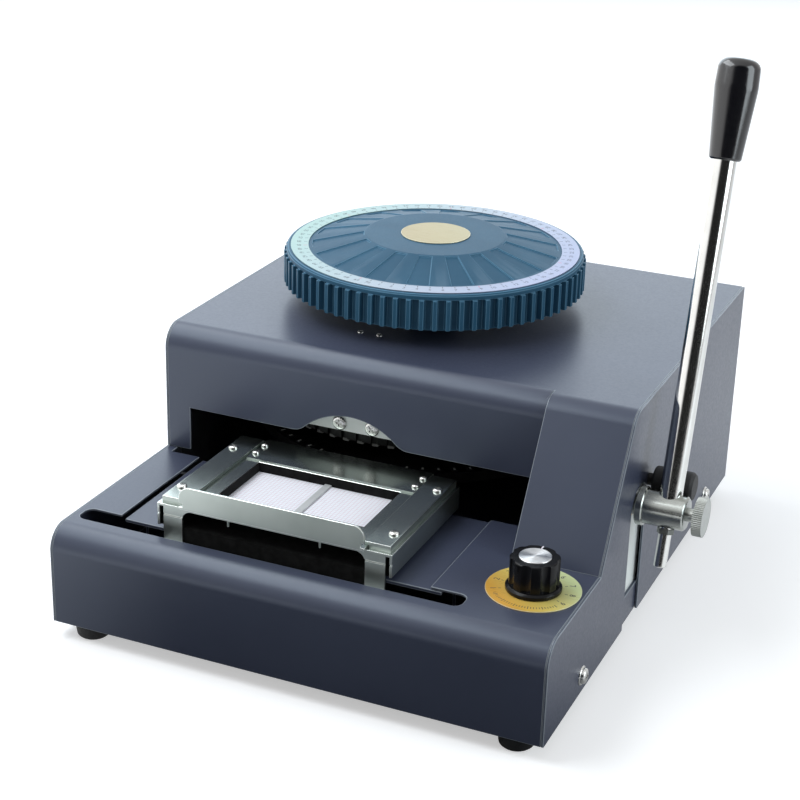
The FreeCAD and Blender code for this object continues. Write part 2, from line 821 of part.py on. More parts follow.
def make_type_wheel():
    disc_top = type_disc_z + type_disc_thick
    upper = notched_disc(type_disc_z, disc_top)
    upper = upper.fuse(bar_z(disc_top, disc_top + disc_hub_height, wheel_x, wheel_y, disc_hub_radius))
    bore = bar_z(0, housing_height, wheel_x, wheel_y, spindle_radius)
    save("upper_type_disc", upper.cut(bore))
    half = punch_width / 2
    punch = block(wheel_x - half, wheel_x + half, emboss_y - punch_depth / 2, emboss_y + punch_depth / 2,
                  punch_bottom, punch_top)
    save("type_punches", *round_copies(punch, punch_count, wheel_x, wheel_y))
    die_disc_top = die_disc_z + die_disc_thick
    lower = bar_z(die_disc_z, die_disc_top, wheel_x, wheel_y, disc_radius)
    lower = lower.fuse(bar_z(die_disc_z - disc_hub_height, die_disc_z, wheel_x, wheel_y, disc_hub_radius))
    die = block(wheel_x - half, wheel_x + half, emboss_y - punch_depth / 2, emboss_y + punch_depth / 2,
                die_disc_top, die_top)
    lower = lower.fuse(round_copies(die, punch_count, wheel_x, wheel_y))
    save("lower_die_disc", lower.cut(bore))
    bottom = pan_thick + footstep_floor + fit_gap
    save("type_spindle", bar_z(bottom, dial_ring_z, wheel_x, wheel_y, spindle_radius))


# Dial
def make_dial():
    inner = dial_groove_radius - dial_wall
    profile = [(dial_bottom, dial_groove_radius, 0), (dial_ring_z - dial_rib_top, dial_groove_radius, 0),
               (dial_ring_z - dial_rib_top, dial_lip_radius, 0),
               (dial_ring_z, dial_lip_radius, -dial_lip_cut),
               (dial_ring_z, crown_foot_radius, 0), (dial_top, crown_radius, crown_rounding),
               (dial_top, 0, 0), (dial_bottom - dial_hub_drop, 0, 0),
               (dial_bottom - dial_hub_drop, dial_hub_radius, 0),
               (dial_ring_z - dial_wall, dial_hub_radius, -dial_inner_cut),
               (dial_ring_z - dial_wall, inner, -dial_inner_cut), (dial_bottom, inner, 0)]
    dial = turned(profile, V(wheel_x, wheel_y, 0), V(0, 0, 1))
    rib_low = dial_bottom + dial_rib_bottom
    rib_high = dial_ring_z - dial_rib_top
    ribs = toothed(wheel_x, wheel_y, rib_low, rib_high, dial_rib_count, dial_groove_radius, dial_rib_radius,
                   dial_rib_foot_share, dial_rib_tip_share)
    ribs = ribs.cut(bar_z(dial_bottom, dial_ring_z, wheel_x, wheel_y, dial_groove_radius - dial_rib_root))
    dial = dial.fuse(ribs)
    slope = crown_rise / (crown_foot_radius - crown_radius)
    outer, near = crown_foot_radius - panel_margin, crown_radius + panel_margin
    outer_z = dial_ring_z + panel_margin * slope
    near_z = dial_top - panel_margin * slope
    panel = Part.Face(Part.makePolygon([V(near, 0, near_z - panel_depth), V(outer, 0, outer_z - panel_depth),
                                        V(outer, 0, outer_z + panel_depth), V(near, 0, near_z + panel_depth),
                                        V(near, 0, near_z - panel_depth)]))
    panel = panel.revolve(V(0, 0, 0), V(0, 0, 1), 180.0 / panel_pairs)
    panel.translate(V(wheel_x, wheel_y, 0))
    dial = dial.cut(round_copies(panel, panel_pairs, wheel_x, wheel_y))
    dial = dial.cut(bar_z(dial_bottom - dial_hub_drop, dial_ring_z, wheel_x, wheel_y, spindle_radius))
    save("dial_wheel", dial)
    ring_top = dial_ring_z + ring_thick
    ring = bar_z(dial_ring_z, ring_top, wheel_x, wheel_y, ring_outer_radius)
    save("dial_scale_ring", ring.cut(bar_z(dial_ring_z, ring_top, wheel_x, wheel_y, ring_inner_radius)))
    save("dial_badge", bar_z(dial_top, dial_top + badge_thick, wheel_x, wheel_y, badge_radius))


# Handle, its shaft and the stop that it rests on
def bumper_centre():
    lean = math.radians(handle_lean)
    aside = rod_radius + bumper_radius + fit_gap
    clear = collar_radius + bumper_radius + fit_gap
    up = math.sqrt(max(clear ** 2 - aside ** 2, 0))
    y = shaft_y + up * math.sin(lean) + aside * math.cos(lean)
    z = shaft_z + up * math.cos(lean) - aside * math.sin(lean)
    return y, z


def make_handle():
    shaft_end = rod_x - rod_radius - shaft_tip_gap
    hub = turned([(collar_x, 0, 0), (collar_x, collar_radius, -collar_cut),
                  (hub_x, collar_radius, -collar_cut), (hub_x, hub_radius, 0),
                  (hub_end, hub_radius, -hub_cut), (hub_end, 0, 0)], V(0, shaft_y, shaft_z), V(1, 0, 0))
    hub = hub.cut(bar_x(collar_x, shaft_end, shaft_y, shaft_z, shaft_radius))
    hub = hub.cut(bar_x(hub_end - clamp_stem, hub_end, shaft_y, shaft_z, clamp_stem_radius + run_gap))
    hub = hub.cut(leaned(bar_z(0, rod_length, 0, 0, rod_radius)))
    hub = hub.cut(leaned(bar_z(-stub_length, 0, 0, 0, stub_radius)))
    save("handle_hub", hub)
    rod = turned([(-stub_length, 0, 0), (-stub_length, stub_radius, -stub_cut), (0, stub_radius, 0),
                  (0, rod_radius, 0), (rod_length, rod_radius, 0), (rod_length, 0, 0)],
                 V(0, 0, 0), V(0, 0, 1))
    save("handle_rod", leaned(rod))
    nut_top = -hub_radius - fit_gap
    turns = [math.radians(60 * side) for side in range(6)]
    nut = plate("xy", nut_top - nut_thick, nut_top,
                [(nut_radius * math.cos(turn), nut_radius * math.sin(turn), 0) for turn in turns])
    save("handle_nut", leaned(nut.cut(bar_z(nut_top - nut_thick, nut_top, 0, 0, stub_radius))))
    grip = turned([(grip_start, rod_radius, 0), (grip_start, grip_foot_radius, -grip_foot_cut),
                   (grip_end - grip_belly, grip_radius, grip_belly_rounding),
                   (grip_end, grip_tip_radius, grip_tip_rounding), (grip_end, 0, 0),
                   (rod_length, 0, 0), (rod_length, rod_radius, 0)], V(0, 0, 0), V(0, 0, 1))
    save("handle_grip", leaned(grip))
    save("main_shaft", bar_x(right_plate_x, shaft_end, shaft_y, shaft_z, shaft_radius))
    phase = math.radians(cam_phase)
    cam_y = shaft_y + cam_throw * math.cos(phase)
    cam_z = shaft_z - cam_throw * math.sin(phase)
    cam = bar_x(cam_x, cam_x + cam_width, cam_y, cam_z, cam_radius)
    save("press_cam", cam.cut(bar_x(cam_x, cam_x + cam_width, shaft_y, shaft_z, shaft_radius)))
    screw = toothed(0, 0, clamp_x, right_reach, clamp_ridges, clamp_radius - clamp_ridge_depth, clamp_radius,
                    clamp_ridge_foot_share, clamp_ridge_tip_share)
    screw = screw.fuse(bar_z(hub_end - clamp_stem, clamp_x, 0, 0, clamp_stem_radius))
    screw.Placement = FreeCAD.Placement(V(0, shaft_y, shaft_z), FreeCAD.Rotation(V(0, 0, 1), V(1, 0, 0)))
    save("thumb_screw", screw)
    bumper_y, bumper_z = bumper_centre()
    bumper_end = bumper_stud_length + bumper_length
    bumper = turned([(-sheet, 0, 0), (-sheet, screw_radius, 0), (0, screw_radius, 0),
                     (0, bumper_stud_radius, 0), (bumper_stud_length, bumper_stud_radius, 0),
                     (bumper_stud_length, bumper_radius, -bumper_foot_cut),
                     (bumper_end, bumper_radius, -bumper_tip_cut), (bumper_end, 0, 0)],
                    V(body_width, bumper_y, bumper_z), V(1, 0, 0))
    save("stop_bumper", bumper)


# Press arm, follower and ram
def lever(x0, x1, hub, tip, big, small):
    """A tapered lever: a hub and a tip, both (y, z), joined by the two tangent lines."""
    run = V(tip[0] - hub[0], tip[1] - hub[1], 0)
    heading = math.atan2(run.y, run.x)
    spread = math.acos((big - small) / run.Length)
    corners = []
    for centre, radius, side in ((hub, big, 1), (tip, small, 1), (tip, small, -1), (hub, big, -1)):
        angle = heading + side * spread
        corners.append((centre[0] + radius * math.cos(angle), centre[1] + radius * math.sin(angle), 0))
    web = plate("yz", x0, x1, corners)
    return web.fuse([bar_x(x0, x1, hub[0], hub[1], big), bar_x(x0, x1, tip[0], tip[1], small)])


def make_press():
    x0, x1 = wheel_x - arm_width / 2, wheel_x + arm_width / 2
    pivot = (arm_y, arm_z)
    arm = lever(x0, x1, pivot, (arm_nose_y, arm_nose_z), arm_hub_radius, arm_nose_radius)
    save("press_arm", arm.cut(bar_x(x0, x1, arm_y, arm_z, arm_shaft_radius)).removeSplitter())
    cam_end = cam_x + cam_width
    follower = lever(cam_x, cam_end, pivot, (follower_y, shaft_z), arm_hub_radius, follower_pad_radius)
    save("follower_arm", follower.cut(bar_x(cam_x, cam_end, arm_y, arm_z, arm_shaft_radius)).removeSplitter())
    save("press_arm_shaft", bar_x(left_plate_x, cam_end + arm_shaft_end, arm_y, arm_z, arm_shaft_radius))
    half = ram_width / 2
    ram = block(wheel_x - half, wheel_x + half, emboss_y - ram_front, emboss_y + ram_rear,
                ram_bottom, ram_top)
    save("ram", ram)
    touch = follower_y + follower_pad_radius + fit_gap
    tip_z = shaft_z - follower_pad_radius / 2
    heel = touch + spring_slant
    toe = heel + spring_foot
    spring = plate("yz", cam_x + spring_inset, cam_end - spring_inset,
                   [(heel, pan_thick, 0), (toe, pan_thick, 0), (toe, pan_thick + spring_thick, 0),
                    (heel + spring_thick, pan_thick + spring_thick, 0), (touch + spring_thick, tip_z, 0),
                    (touch, tip_z, 0)])
    save("return_spring", spring)


# Carriage on its two guide rods
def make_guides():
    rods, brackets = [], []
    rod_end = bracket_right_x + right_bracket_thick
    bracket_top = guide_rod_z + bracket_half
    for y in (front_rod_y, rear_rod_y):
        rods.append(bar_x(left_plate_x, rod_end, y, guide_rod_z, guide_rod_radius))
        for x, thick in ((left_plate_x, left_bracket_thick), (bracket_right_x, right_bracket_thick)):
            front, rear = y - bracket_half, y + bracket_half
            bracket = plate("yz", x, x + thick, [(front, pan_thick, 0), (rear, pan_thick, 0),
                                                 (rear, bracket_top, bracket_rounding),
                                                 (front, bracket_top, bracket_rounding)])
            brackets.append(bracket.cut(bar_x(x, x + thick, y, guide_rod_z, guide_rod_radius)))
    save("guide_rods", *rods)
    save("rod_brackets", *brackets)


def slider(leg_y, rod_y):
    left, right = wheel_x - leg_outer, wheel_x + leg_outer
    top = guide_rod_z + slider_half_height
    body = block(left, right, leg_y - slider_depth, leg_y, leg_bottom, top)
    return body.cut(bar_x(left, right, rod_y, guide_rod_z, guide_rod_radius + run_gap))


def leg_plate(y):
    band = carriage_top - sheet - leg_band
    half = [(leg_outer, carriage_top - sheet, 0), (leg_outer, leg_bottom, leg_rounding),
            (leg_inner, leg_bottom, leg_rounding), (leg_inner, band, leg_corner)]
    corners = [(wheel_x + u, v, radius) for u, v, radius in half]
    corners += [(wheel_x - u, v, radius) for u, v, radius in reversed(half)]
    return plate("xz", y, y + sheet, corners)


def make_carriage():
    rear = rear_leg_y + sheet
    left, right = wheel_x - carriage_half, wheel_x + carriage_half
    skirt = deck_height + carriage_skirt_gap
    base = block(left, right, front_leg_y, rear, carriage_top - sheet, carriage_top)
    base = base.fuse([leg_plate(front_leg_y), leg_plate(rear_leg_y),
                      block(left, left + sheet, front_leg_y, rear, skirt, carriage_top),
                      block(right - sheet, right, front_leg_y, rear, skirt, carriage_top)])
    groove_top = carriage_top - leg_flange
    groove_rear = front_leg_y + leg_groove
    base = base.cut(block(left, right, front_leg_y, groove_rear, groove_top - leg_groove, groove_top))
    room = pocket_wall + pocket_room
    base = base.cut(block(wheel_x - window_left - room, wheel_x + window_right + room, window_front - room,
                          rear, skirt, carriage_top))
    pin_room = tray_pin_radius + fit_gap
    for x in (wheel_x - tray_pin_half, wheel_x + tray_pin_half):
        base = base.cut(block(x - pin_room, x + pin_room, tray_front + tray_pin_lead - pin_room, window_front,
                              skirt, carriage_top))
    save("carriage_base", base.removeSplitter())
    strips, screws = [], []
    for side in (-1, 1):
        outer = wheel_x + side * (carriage_half - strip_inset)
        foot = wheel_x + side * (tray_half + fit_gap)
        lap = wheel_x + side * (tray_half - strip_lap)
        profile = [(outer, carriage_top, 0), (outer, strip_top, strip_outer_rounding),
                   (lap, strip_top, strip_inner_rounding), (lap, strip_seat, 0),
                   (foot, strip_seat, 0), (foot, carriage_top, 0)]
        strips.append(plate("xz", front_leg_y + strip_front, rear, profile))
        for y in (front_leg_y + strip_screw_front, rear - strip_screw_rear):
            place = V(wheel_x + side * (carriage_half - strip_screw_inset), y, strip_top)
            screws.append(pan_head(place, V(0, 0, 1), small_head_radius, small_head_height,
                                   strip_shank_radius, strip_thick))
            strips[-1] = strips[-1].cut(bar_z(strip_seat, strip_top, place.x, place.y, strip_shank_radius))
    save("guide_strips", *strips)
    save("strip_screws", *screws)
    save("front_slider", slider(front_leg_y, front_rod_y))
    save("rear_slider", slider(rear_leg_y, rear_rod_y))


# Feed rack under the carriage and the pinion that it turns
def make_feed():
    pressure = math.radians(gear_pressure)
    pitch = math.pi * gear_module
    half = pitch / 4 - gear_backlash / 2
    rise, drop = gear_module, gear_root_share * gear_module
    left, right = wheel_x - leg_outer, wheel_x + leg_outer
    points = [V(right, rack_y, gear_z), V(left, rack_y, gear_z), V(left, rack_pitch_y - drop, gear_z)]
    low, high = rack_pitch_y - drop, rack_pitch_y + rise
    foot, crest = half + drop * math.tan(pressure), half - rise * math.tan(pressure)
    for tooth in range(rack_teeth + 1):
        middle = wheel_x + (tooth - rack_teeth / 2) * pitch
        points += [V(middle - foot, low, gear_z), V(middle - crest, high, gear_z),
                   V(middle + crest, high, gear_z), V(middle + foot, low, gear_z)]
    points += [V(right, low, gear_z), points[0]]
    save("feed_rack", Part.Face(Part.makePolygon(points)).extrude(V(0, 0, gear_thick)))
    base = gear_radius * math.cos(pressure)
    root, tip = gear_radius - drop, gear_radius + rise
    half_angle = half / gear_radius + math.tan(pressure) - pressure
    flank = []
    for step in range(gear_flank_steps + 1):
        radius = base + (tip - base) * step / gear_flank_steps
        bite = math.acos(base / radius)
        flank.append((radius, half_angle - (math.tan(bite) - bite)))
    flank.insert(0, (root, flank[0][1]))
    outline_points = []
    for tooth in range(gear_teeth):
        middle = 2 * math.pi * (tooth + 0.5) / gear_teeth - math.pi / 2
        for radius, offset in flank:
            outline_points.append((radius, middle - offset))
        for radius, offset in reversed(flank):
            outline_points.append((radius, middle + offset))
    gear = [V(wheel_x + radius * math.cos(angle), pinion_y + radius * math.sin(angle), gear_z)
            for radius, angle in outline_points]
    gear = Part.Face(Part.makePolygon(gear + gear[:1])).extrude(V(0, 0, gear_thick))
    bore = bar_z(gear_z, gear_z + gear_thick, wheel_x, pinion_y, stud_radius + run_gap)
    save("feed_pinion", gear.cut(bore))
    flange_top = gear_z - fit_gap
    stud_top = gear_z + gear_thick + stud_end
    stud = turned([(pan_thick, 0, 0), (pan_thick, stud_flange_radius, 0),
                   (flange_top, stud_flange_radius, -stud_flange_cut), (flange_top, stud_radius, 0),
                   (stud_top, stud_radius, -stud_cut), (stud_top, 0, 0)],
                  V(wheel_x, pinion_y, 0), V(0, 0, 1))
    save("pinion_stud", stud)


# Card tray
def make_tray():
    left, right = wheel_x - window_left, wheel_x + window_right
    tray = block(wheel_x - tray_half, wheel_x + tray_half, tray_front, tray_rear, tray_bottom, tray_top)
    lip = plate("xz", tray_front, tray_front + sheet,
                [(wheel_x - tray_half, tray_bottom, 0), (wheel_x + tray_half, tray_bottom, 0),
                 (wheel_x + tray_half, tray_bottom + tray_lip_height, tray_lip_corner),
                 (wheel_x - tray_half, tray_bottom + tray_lip_height, tray_lip_corner)])
    pocket = block(left - pocket_wall, right + pocket_wall, window_front - pocket_wall,
                   window_rear + pocket_wall, pocket_z, tray_bottom)
    notch_top = strip_top + fit_gap
    for side in (-1, 1):
        edge, inner = sorted((wheel_x + side * tray_half, wheel_x + side * (tray_half - strip_lap - fit_gap)))
        lip = lip.cut(block(edge, inner, tray_front, tray_front + sheet, tray_top, notch_top))
    pins = [bar_z(tray_bottom - tray_pin_length, tray_bottom, x, tray_front + tray_pin_lead, tray_pin_radius)
            for x in (wheel_x - tray_pin_half, wheel_x + tray_pin_half)]
    tray = tray.fuse([lip, pocket] + pins)
    tray = tray.cut(block(left, right, window_front, window_rear, insert_z, tray_top))
    tray = tray.cut(block(left + pocket_ledge, right - pocket_ledge, window_front + pocket_ledge,
                          window_rear - pocket_ledge, pocket_z, insert_z))
    save("card_tray", tray.removeSplitter())
    insert_top = insert_z + insert_thick
    insert = block(left + slide_gap, right - slide_gap, window_front + slide_gap, window_rear - slide_gap,
                   insert_z, insert_top)
    save("grid_insert", insert)
    middle = (left + right) / 2
    divider = plate("xz", window_front + slide_gap, window_rear - slide_gap,
                    rectangle(middle - divider_width / 2, middle + divider_width / 2, insert_top,
                              insert_top + divider_height, divider_rounding))
    save("divider_bar", divider)
    front = window_rear + clamp_plate_lead
    plate_top = tray_top + clamp_plate_thick
    clamp = block(wheel_x - clamp_plate_half, wheel_x + clamp_plate_half, front, tray_rear,
                  tray_top, plate_top)
    screws = []
    for side in (-1, 1):
        for step in (0, tray_screw_step):
            x = wheel_x + side * (clamp_plate_half - tray_screw_inset)
            y = front + tray_screw_front + step
            clamp = clamp.cut(bar_z(tray_top, plate_top, x, y, tray_shank_radius))
            screws.append(pan_head(V(x, y, plate_top), V(0, 0, 1), tray_head_radius, small_head_height,
                                   tray_shank_radius, clamp_plate_thick))
    save("tray_clamp_plate", clamp)
    save("tray_screws", *screws)


# Spacing knob, its plate and its spindle
def make_knob():
    plate_top = deck_height + scale_thick
    scale = bar_z(deck_height, plate_top, knob_x, knob_y, scale_radius)
    save("knob_scale_plate", scale.cut(bar_z(deck_height, plate_top, knob_x, knob_y, knob_spindle_hole)))
    skirt_top = knob_bottom + knob_skirt_height
    top = knob_bottom + knob_height
    knob = turned([(knob_bottom, 0, 0), (knob_bottom, knob_skirt_radius, 0),
                   (skirt_top, knob_skirt_radius, -knob_skirt_cut), (skirt_top, 0, 0)],
                  V(knob_x, knob_y, 0), V(0, 0, 1))
    body = turned([(skirt_top, 0, 0), (skirt_top, knob_radius, 0), (top, knob_radius, -knob_top_cut),
                   (top, 0, 0)], V(knob_x, knob_y, 0), V(0, 0, 1))
    flute_place = knob_x + knob_radius + knob_flute_radius - knob_flute_depth
    flute = bar_z(skirt_top, top, flute_place, knob_y, knob_flute_radius)
    knob = knob.fuse(body.cut(round_copies(flute, knob_flutes, knob_x, knob_y)))
    knob = knob.cut(bar_z(knob_bottom, knob_bottom + knob_spindle_reach, knob_x, knob_y, knob_spindle_radius))
    save("spacing_knob", knob)
    cap_top = top + knob_cap_rise
    save("knob_cap", turned([(top, 0, 0), (top, knob_cap_radius, 0),
                             (cap_top, knob_cap_radius, -knob_cap_cut), (cap_top, 0, 0)],
                            V(knob_x, knob_y, 0), V(0, 0, 1)))
    post_top = pan_thick + knob_post_height
    foot = pan_thick + knob_spindle_seat
    post = bar_z(pan_thick, post_top, knob_x, knob_y, knob_post_radius)
    save("spindle_post", post.cut(bar_z(foot, post_top, knob_x, knob_y, knob_spindle_radius + run_gap)))
    spindle = bar_z(foot + fit_gap, knob_bottom + knob_spindle_reach, knob_x, knob_y, knob_spindle_radius)
    cam_low = post_top + knob_cam_gap
    cam = bar_z(cam_low, cam_low + knob_cam_thick, knob_x - knob_cam_throw, knob_y, knob_cam_radius)
    save("spacing_spindle", spindle.fuse(cam))


os.makedirs("parts", exist_ok=True)
make_base()
make_deck()
make_bridge()
make_side_panels()
make_housing()
make_back()
make_cover_screws()
make_frame()
make_press_seat()
make_type_wheel()
make_dial()
make_handle()
make_press()
make_guides()
make_carriage()
make_feed()
make_tray()
make_knob()
print("body", body_width, "x", round(body_depth, 2), "origin", round(origin_x, 2), round(origin_y, 2))
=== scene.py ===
# %% [markdown]
# # A hand-lever card embosser
# The machine presses raised letters and numbers into a plastic card. A big dial turns two type discs inside a
# sheet-steel housing, a leaning lever works the press, and the card lies in a tray on a sliding carriage.
# The imported model already has every piece at its size and place. This lesson gives it its looks: finishes for each
# material, and finer shapes for the pieces that the eye meets first. It starts by loading the model, which stays fixed
# from then on.

# %% Load the model
import json
import math

import bpy
from mathutils import Matrix, Vector


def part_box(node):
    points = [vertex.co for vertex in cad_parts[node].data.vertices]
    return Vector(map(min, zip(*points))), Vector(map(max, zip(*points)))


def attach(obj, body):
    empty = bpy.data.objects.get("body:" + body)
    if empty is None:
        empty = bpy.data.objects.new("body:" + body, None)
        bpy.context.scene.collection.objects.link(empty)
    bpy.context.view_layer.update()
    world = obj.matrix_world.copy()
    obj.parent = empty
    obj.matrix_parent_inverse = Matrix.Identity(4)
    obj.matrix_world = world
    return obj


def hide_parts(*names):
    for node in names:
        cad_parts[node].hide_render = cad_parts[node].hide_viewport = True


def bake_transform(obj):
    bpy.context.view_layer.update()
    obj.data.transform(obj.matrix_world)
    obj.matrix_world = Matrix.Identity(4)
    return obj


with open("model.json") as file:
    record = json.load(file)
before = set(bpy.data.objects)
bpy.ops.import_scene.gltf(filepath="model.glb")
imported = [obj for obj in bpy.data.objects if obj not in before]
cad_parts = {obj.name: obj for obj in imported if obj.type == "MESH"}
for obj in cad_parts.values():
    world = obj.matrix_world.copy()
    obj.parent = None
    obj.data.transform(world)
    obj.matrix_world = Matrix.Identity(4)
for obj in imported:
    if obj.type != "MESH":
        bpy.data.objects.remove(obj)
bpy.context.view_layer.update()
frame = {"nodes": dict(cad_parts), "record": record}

nodes = frame["nodes"]
record = frame["record"]
mm = 0.001
node_body = {node: body for body, members in record["behaviour"]["bodies"].items() for node in members}
node_slot = {row["node"]: row["material_slot"] for row in record["subparts"]}

# %% [markdown]
# ## The camera
# The photograph was taken from the front and a little from the right, from above, with a long lens. The camera
# stands at that place. It is built from the direction that it looks in and a small roll, because the photograph
# is tilted by less than two degrees, and three axes are easier to check than three turning angles.

# %% Camera
eye = Vector((0.37715, -0.9645, 0.5421))
looking = Vector((-0.3623, 0.8487, -0.3852)).normalized()
roll = math.radians(1.63)
level_side = looking.cross(Vector((0, 0, 1))).normalized()
level_up = level_side.cross(looking)
side = level_side * math.cos(roll) + level_up * math.sin(roll)
up = level_up * math.cos(roll) - level_side * math.sin(roll)
bpy.ops.object.camera_add()
camera = bpy.context.object
camera.matrix_world = Matrix.Translation(eye) @ Matrix((side, up, -looking)).transposed().to_4x4()
camera.data.sensor_width = 36.0
camera.data.lens = 82.6
bpy.context.scene.camera = camera
print("camera at", [round(v, 3) for v in eye], "lens", camera.data.lens)

# %% [markdown]
# ## Shader helpers
# A finish is a small net of shader nodes. A few helpers keep the nets readable. One starts a material, one adds a node
# with its settings, and one joins two sockets. Three more do sums, mix two values and stretch a value from one range
# to another. The last gives a place on the piece, from Object coordinates. These move with the piece, so a grain stays
# where it is when the machine works.

# %% Shader helpers
mix_sockets = {"FLOAT": (0, 2, 3, 0), "RGBA": (0, 6, 7, 2)}


def blank_finish(name):
    finish = bpy.data.materials.new(name)
    finish.use_nodes = True
    return finish, finish.node_tree.nodes["Principled BSDF"]


def add_node(finish, kind, values=None, **settings):
    made = finish.node_tree.nodes.new(kind)
    for key, value in settings.items():
        setattr(made, key, value)
    for key, value in (values or {}).items():
        made.inputs[key].default_value = value
    return made


def wire(finish, source, target):
    finish.node_tree.links.new(source, target)


def feed(finish, value, target):
    """Gives a socket its value, which is another node's output or a plain number or colour."""
    if isinstance(value, bpy.types.NodeSocket):
        wire(finish, value, target)
    else:
        target.default_value = value


def calc(finish, operation, *values):
    """A Math node; each value is another node's output or a plain number."""
    made = add_node(finish, "ShaderNodeMath", operation=operation)
    for place, value in zip(made.inputs, values):
        feed(finish, value, place)
    return made.outputs[0]


def mix(finish, kind, share, first, second):
    """A Mix node, which goes from the first value to the second as the share goes from 0 to 1."""
    made = add_node(finish, "ShaderNodeMix", data_type=kind)
    *places, result = mix_sockets[kind]
    for place, value in zip(places, (share, first, second)):
        feed(finish, value, made.inputs[place])
    return made.outputs[result]


def between(finish, value, low, high, start=0.3, end=0.7, **settings):
    """Turns a value that runs from start to end into one that runs from low to high."""
    made = add_node(finish, "ShaderNodeMapRange",
                    {"From Min": start, "From Max": end, "To Min": low, "To Max": high}, **settings)
    wire(finish, value, made.inputs["Value"])
    return made.outputs[0]


def spot(finish, stretch=(1, 1, 1), centre=(0, 0, 0)):
    """A place on the piece, measured from a centre, with each axis stretched."""
    coordinates = add_node(finish, "ShaderNodeTexCoord")
    moved = add_node(finish, "ShaderNodeVectorMath", {1: centre}, operation="SUBTRACT")
    scaled = add_node(finish, "ShaderNodeVectorMath", {1: stretch}, operation="MULTIPLY")
    wire(finish, coordinates.outputs["Object"], moved.inputs[0])
    wire(finish, moved.outputs[0], scaled.inputs[0])
    return scaled.outputs[0]


print("shader helpers ready")

# %% [markdown]
# ## The studio
# The machine stands on a pale floor that runs on to a white background. The floor takes the light of the lamps and
# keeps a soft shadow. What the camera and the metal see of it is lifted to white by the Light Path node, so that no
# lamp has to be turned up for it; in reflections this lift is a painted glow, stronger at the left than at the right.
# Glossy paint and chrome look right only when they have something dark to mirror as well. So the floor close to the
# front edge is painted dark for every ray but the camera's, a painted shadow of the machine in reflections and in
# bounced light, and the world is dark in the direction where the photographer stands. The camera sees neither.

# %% Floor
def seen_ray(finish):
    """Two outputs: 1 for a ray that the camera sees, straight or through glass, and 1 for one that a gloss mirrors."""
    path = add_node(finish, "ShaderNodeLightPath")
    seen = calc(finish, "MAXIMUM", path.outputs["Is Camera Ray"], path.outputs["Is Transmission Ray"])
    return seen, path.outputs["Is Glossy Ray"]


floor_size = 30.0
floor_tone = (0.80, 0.80, 0.81, 1)
seen_lift = 0.46
# Painted light: what the metal mirrors of the floor glows brighter at the left than at the right.
left_lift, right_lift = 1.3, 0.35
lift_span = (-0.25, 0.15)
# Painted shadow: near the front edge the floor is dark for every ray but the camera's, in place of the machine's
# shadow.
shadow_tone = (0.10, 0.11, 0.12, 1)
shadow_middle = (0.02, -0.30, 0.0)
shadow_fade = (0.15, 0.30)
bpy.ops.object.select_all(action="DESELECT")
bpy.ops.mesh.primitive_plane_add(size=floor_size)
floor = bpy.context.object
floor.name = "studio_floor"
pale, pale_shader = blank_finish("pale_floor")
pale_shader.inputs["Roughness"].default_value = 0.9
pale_shader.inputs["Specular IOR Level"].default_value = 0.0
seen, mirrored = seen_ray(pale)
floor_spot = add_node(pale, "ShaderNodeNewGeometry").outputs["Position"]
from_shadow = add_node(pale, "ShaderNodeVectorMath", {1: shadow_middle}, operation="DISTANCE")
wire(pale, floor_spot, from_shadow.inputs[0])
clear = between(pale, from_shadow.outputs["Value"], 0.0, 1.0, *shadow_fade)
shaded_floor = mix(pale, "RGBA", calc(pale, "MAXIMUM", clear, seen), shadow_tone, floor_tone)
wire(pale, shaded_floor, pale_shader.inputs["Base Color"])
floor_way = add_node(pale, "ShaderNodeSeparateXYZ")
wire(pale, floor_spot, floor_way.inputs[0])
mirror_lift = calc(pale, "MULTIPLY", clear, between(pale, floor_way.outputs["X"], left_lift, right_lift, *lift_span))
lift = calc(pale, "MULTIPLY_ADD", mirrored, mirror_lift, calc(pale, "MULTIPLY", seen, seen_lift))
pale_shader.inputs["Emission Color"].default_value = (1, 1, 1, 1)
wire(pale, lift, pale_shader.inputs["Emission Strength"])
pale.cycles.emission_sampling = "NONE"
floor.data.materials.append(pale)
print("floor ready,", floor_size, "metres wide")

# %% World
world_fill = 0.34
front_way = (0.39, -0.92, 0.0)
front_room = 0.02
front_fade = (0.55, 0.82)
left_wall, right_wall = 1.4, 0.75
wall_span = (-0.8, 0.8)
world = bpy.data.worlds.new("studio_world")
world.use_nodes = True
world.cycles.sampling_method = "NONE"
bpy.context.scene.world = world
background = world.node_tree.nodes["Background"]
background.inputs["Color"].default_value = (1, 1, 1, 1)
sky = add_node(world, "ShaderNodeTexCoord").outputs["Generated"]
facing = add_node(world, "ShaderNodeVectorMath", {1: front_way}, operation="DOT_PRODUCT")
wire(world, sky, facing.inputs[0])
front = between(world, facing.outputs["Value"], 0.0, 1.0, *front_fade, interpolation_type="SMOOTHSTEP")
sky_way = add_node(world, "ShaderNodeSeparateXYZ")
wire(world, sky, sky_way.inputs[0])
side_walls = between(world, sky_way.outputs["X"], left_wall, right_wall, *wall_span)
room = mix(world, "FLOAT", front, side_walls, front_room)
seen, mirrored = seen_ray(world)
walls = mix(world, "FLOAT", mirrored, world_fill, room)
wire(world, calc(world, "MAXIMUM", seen, walls), background.inputs["Strength"])
bpy.context.scene.view_settings.view_transform = "Standard"
print("world ready, shown by", bpy.context.scene.view_settings.view_transform)

# %% [markdown]
# ## The lamps
# Four soft boxes light the machine, as in a small product studio. A large one stands far behind at the left, and
# the flat painted tops mirror it as a broad sheen. A small one hangs close over the left front: it lights the deck
# and the front of the housing more than the lower face. The other two fill the left, and the side with the lever.
# Each is aimed at the middle of the machine.

# %% Lamps
machine_middle = Vector((0, 0, 0.10))
blue_white, cool_white, pale_white = (0.70, 0.87, 1.0), (0.85, 0.95, 1.0), (0.92, 0.97, 1.0)


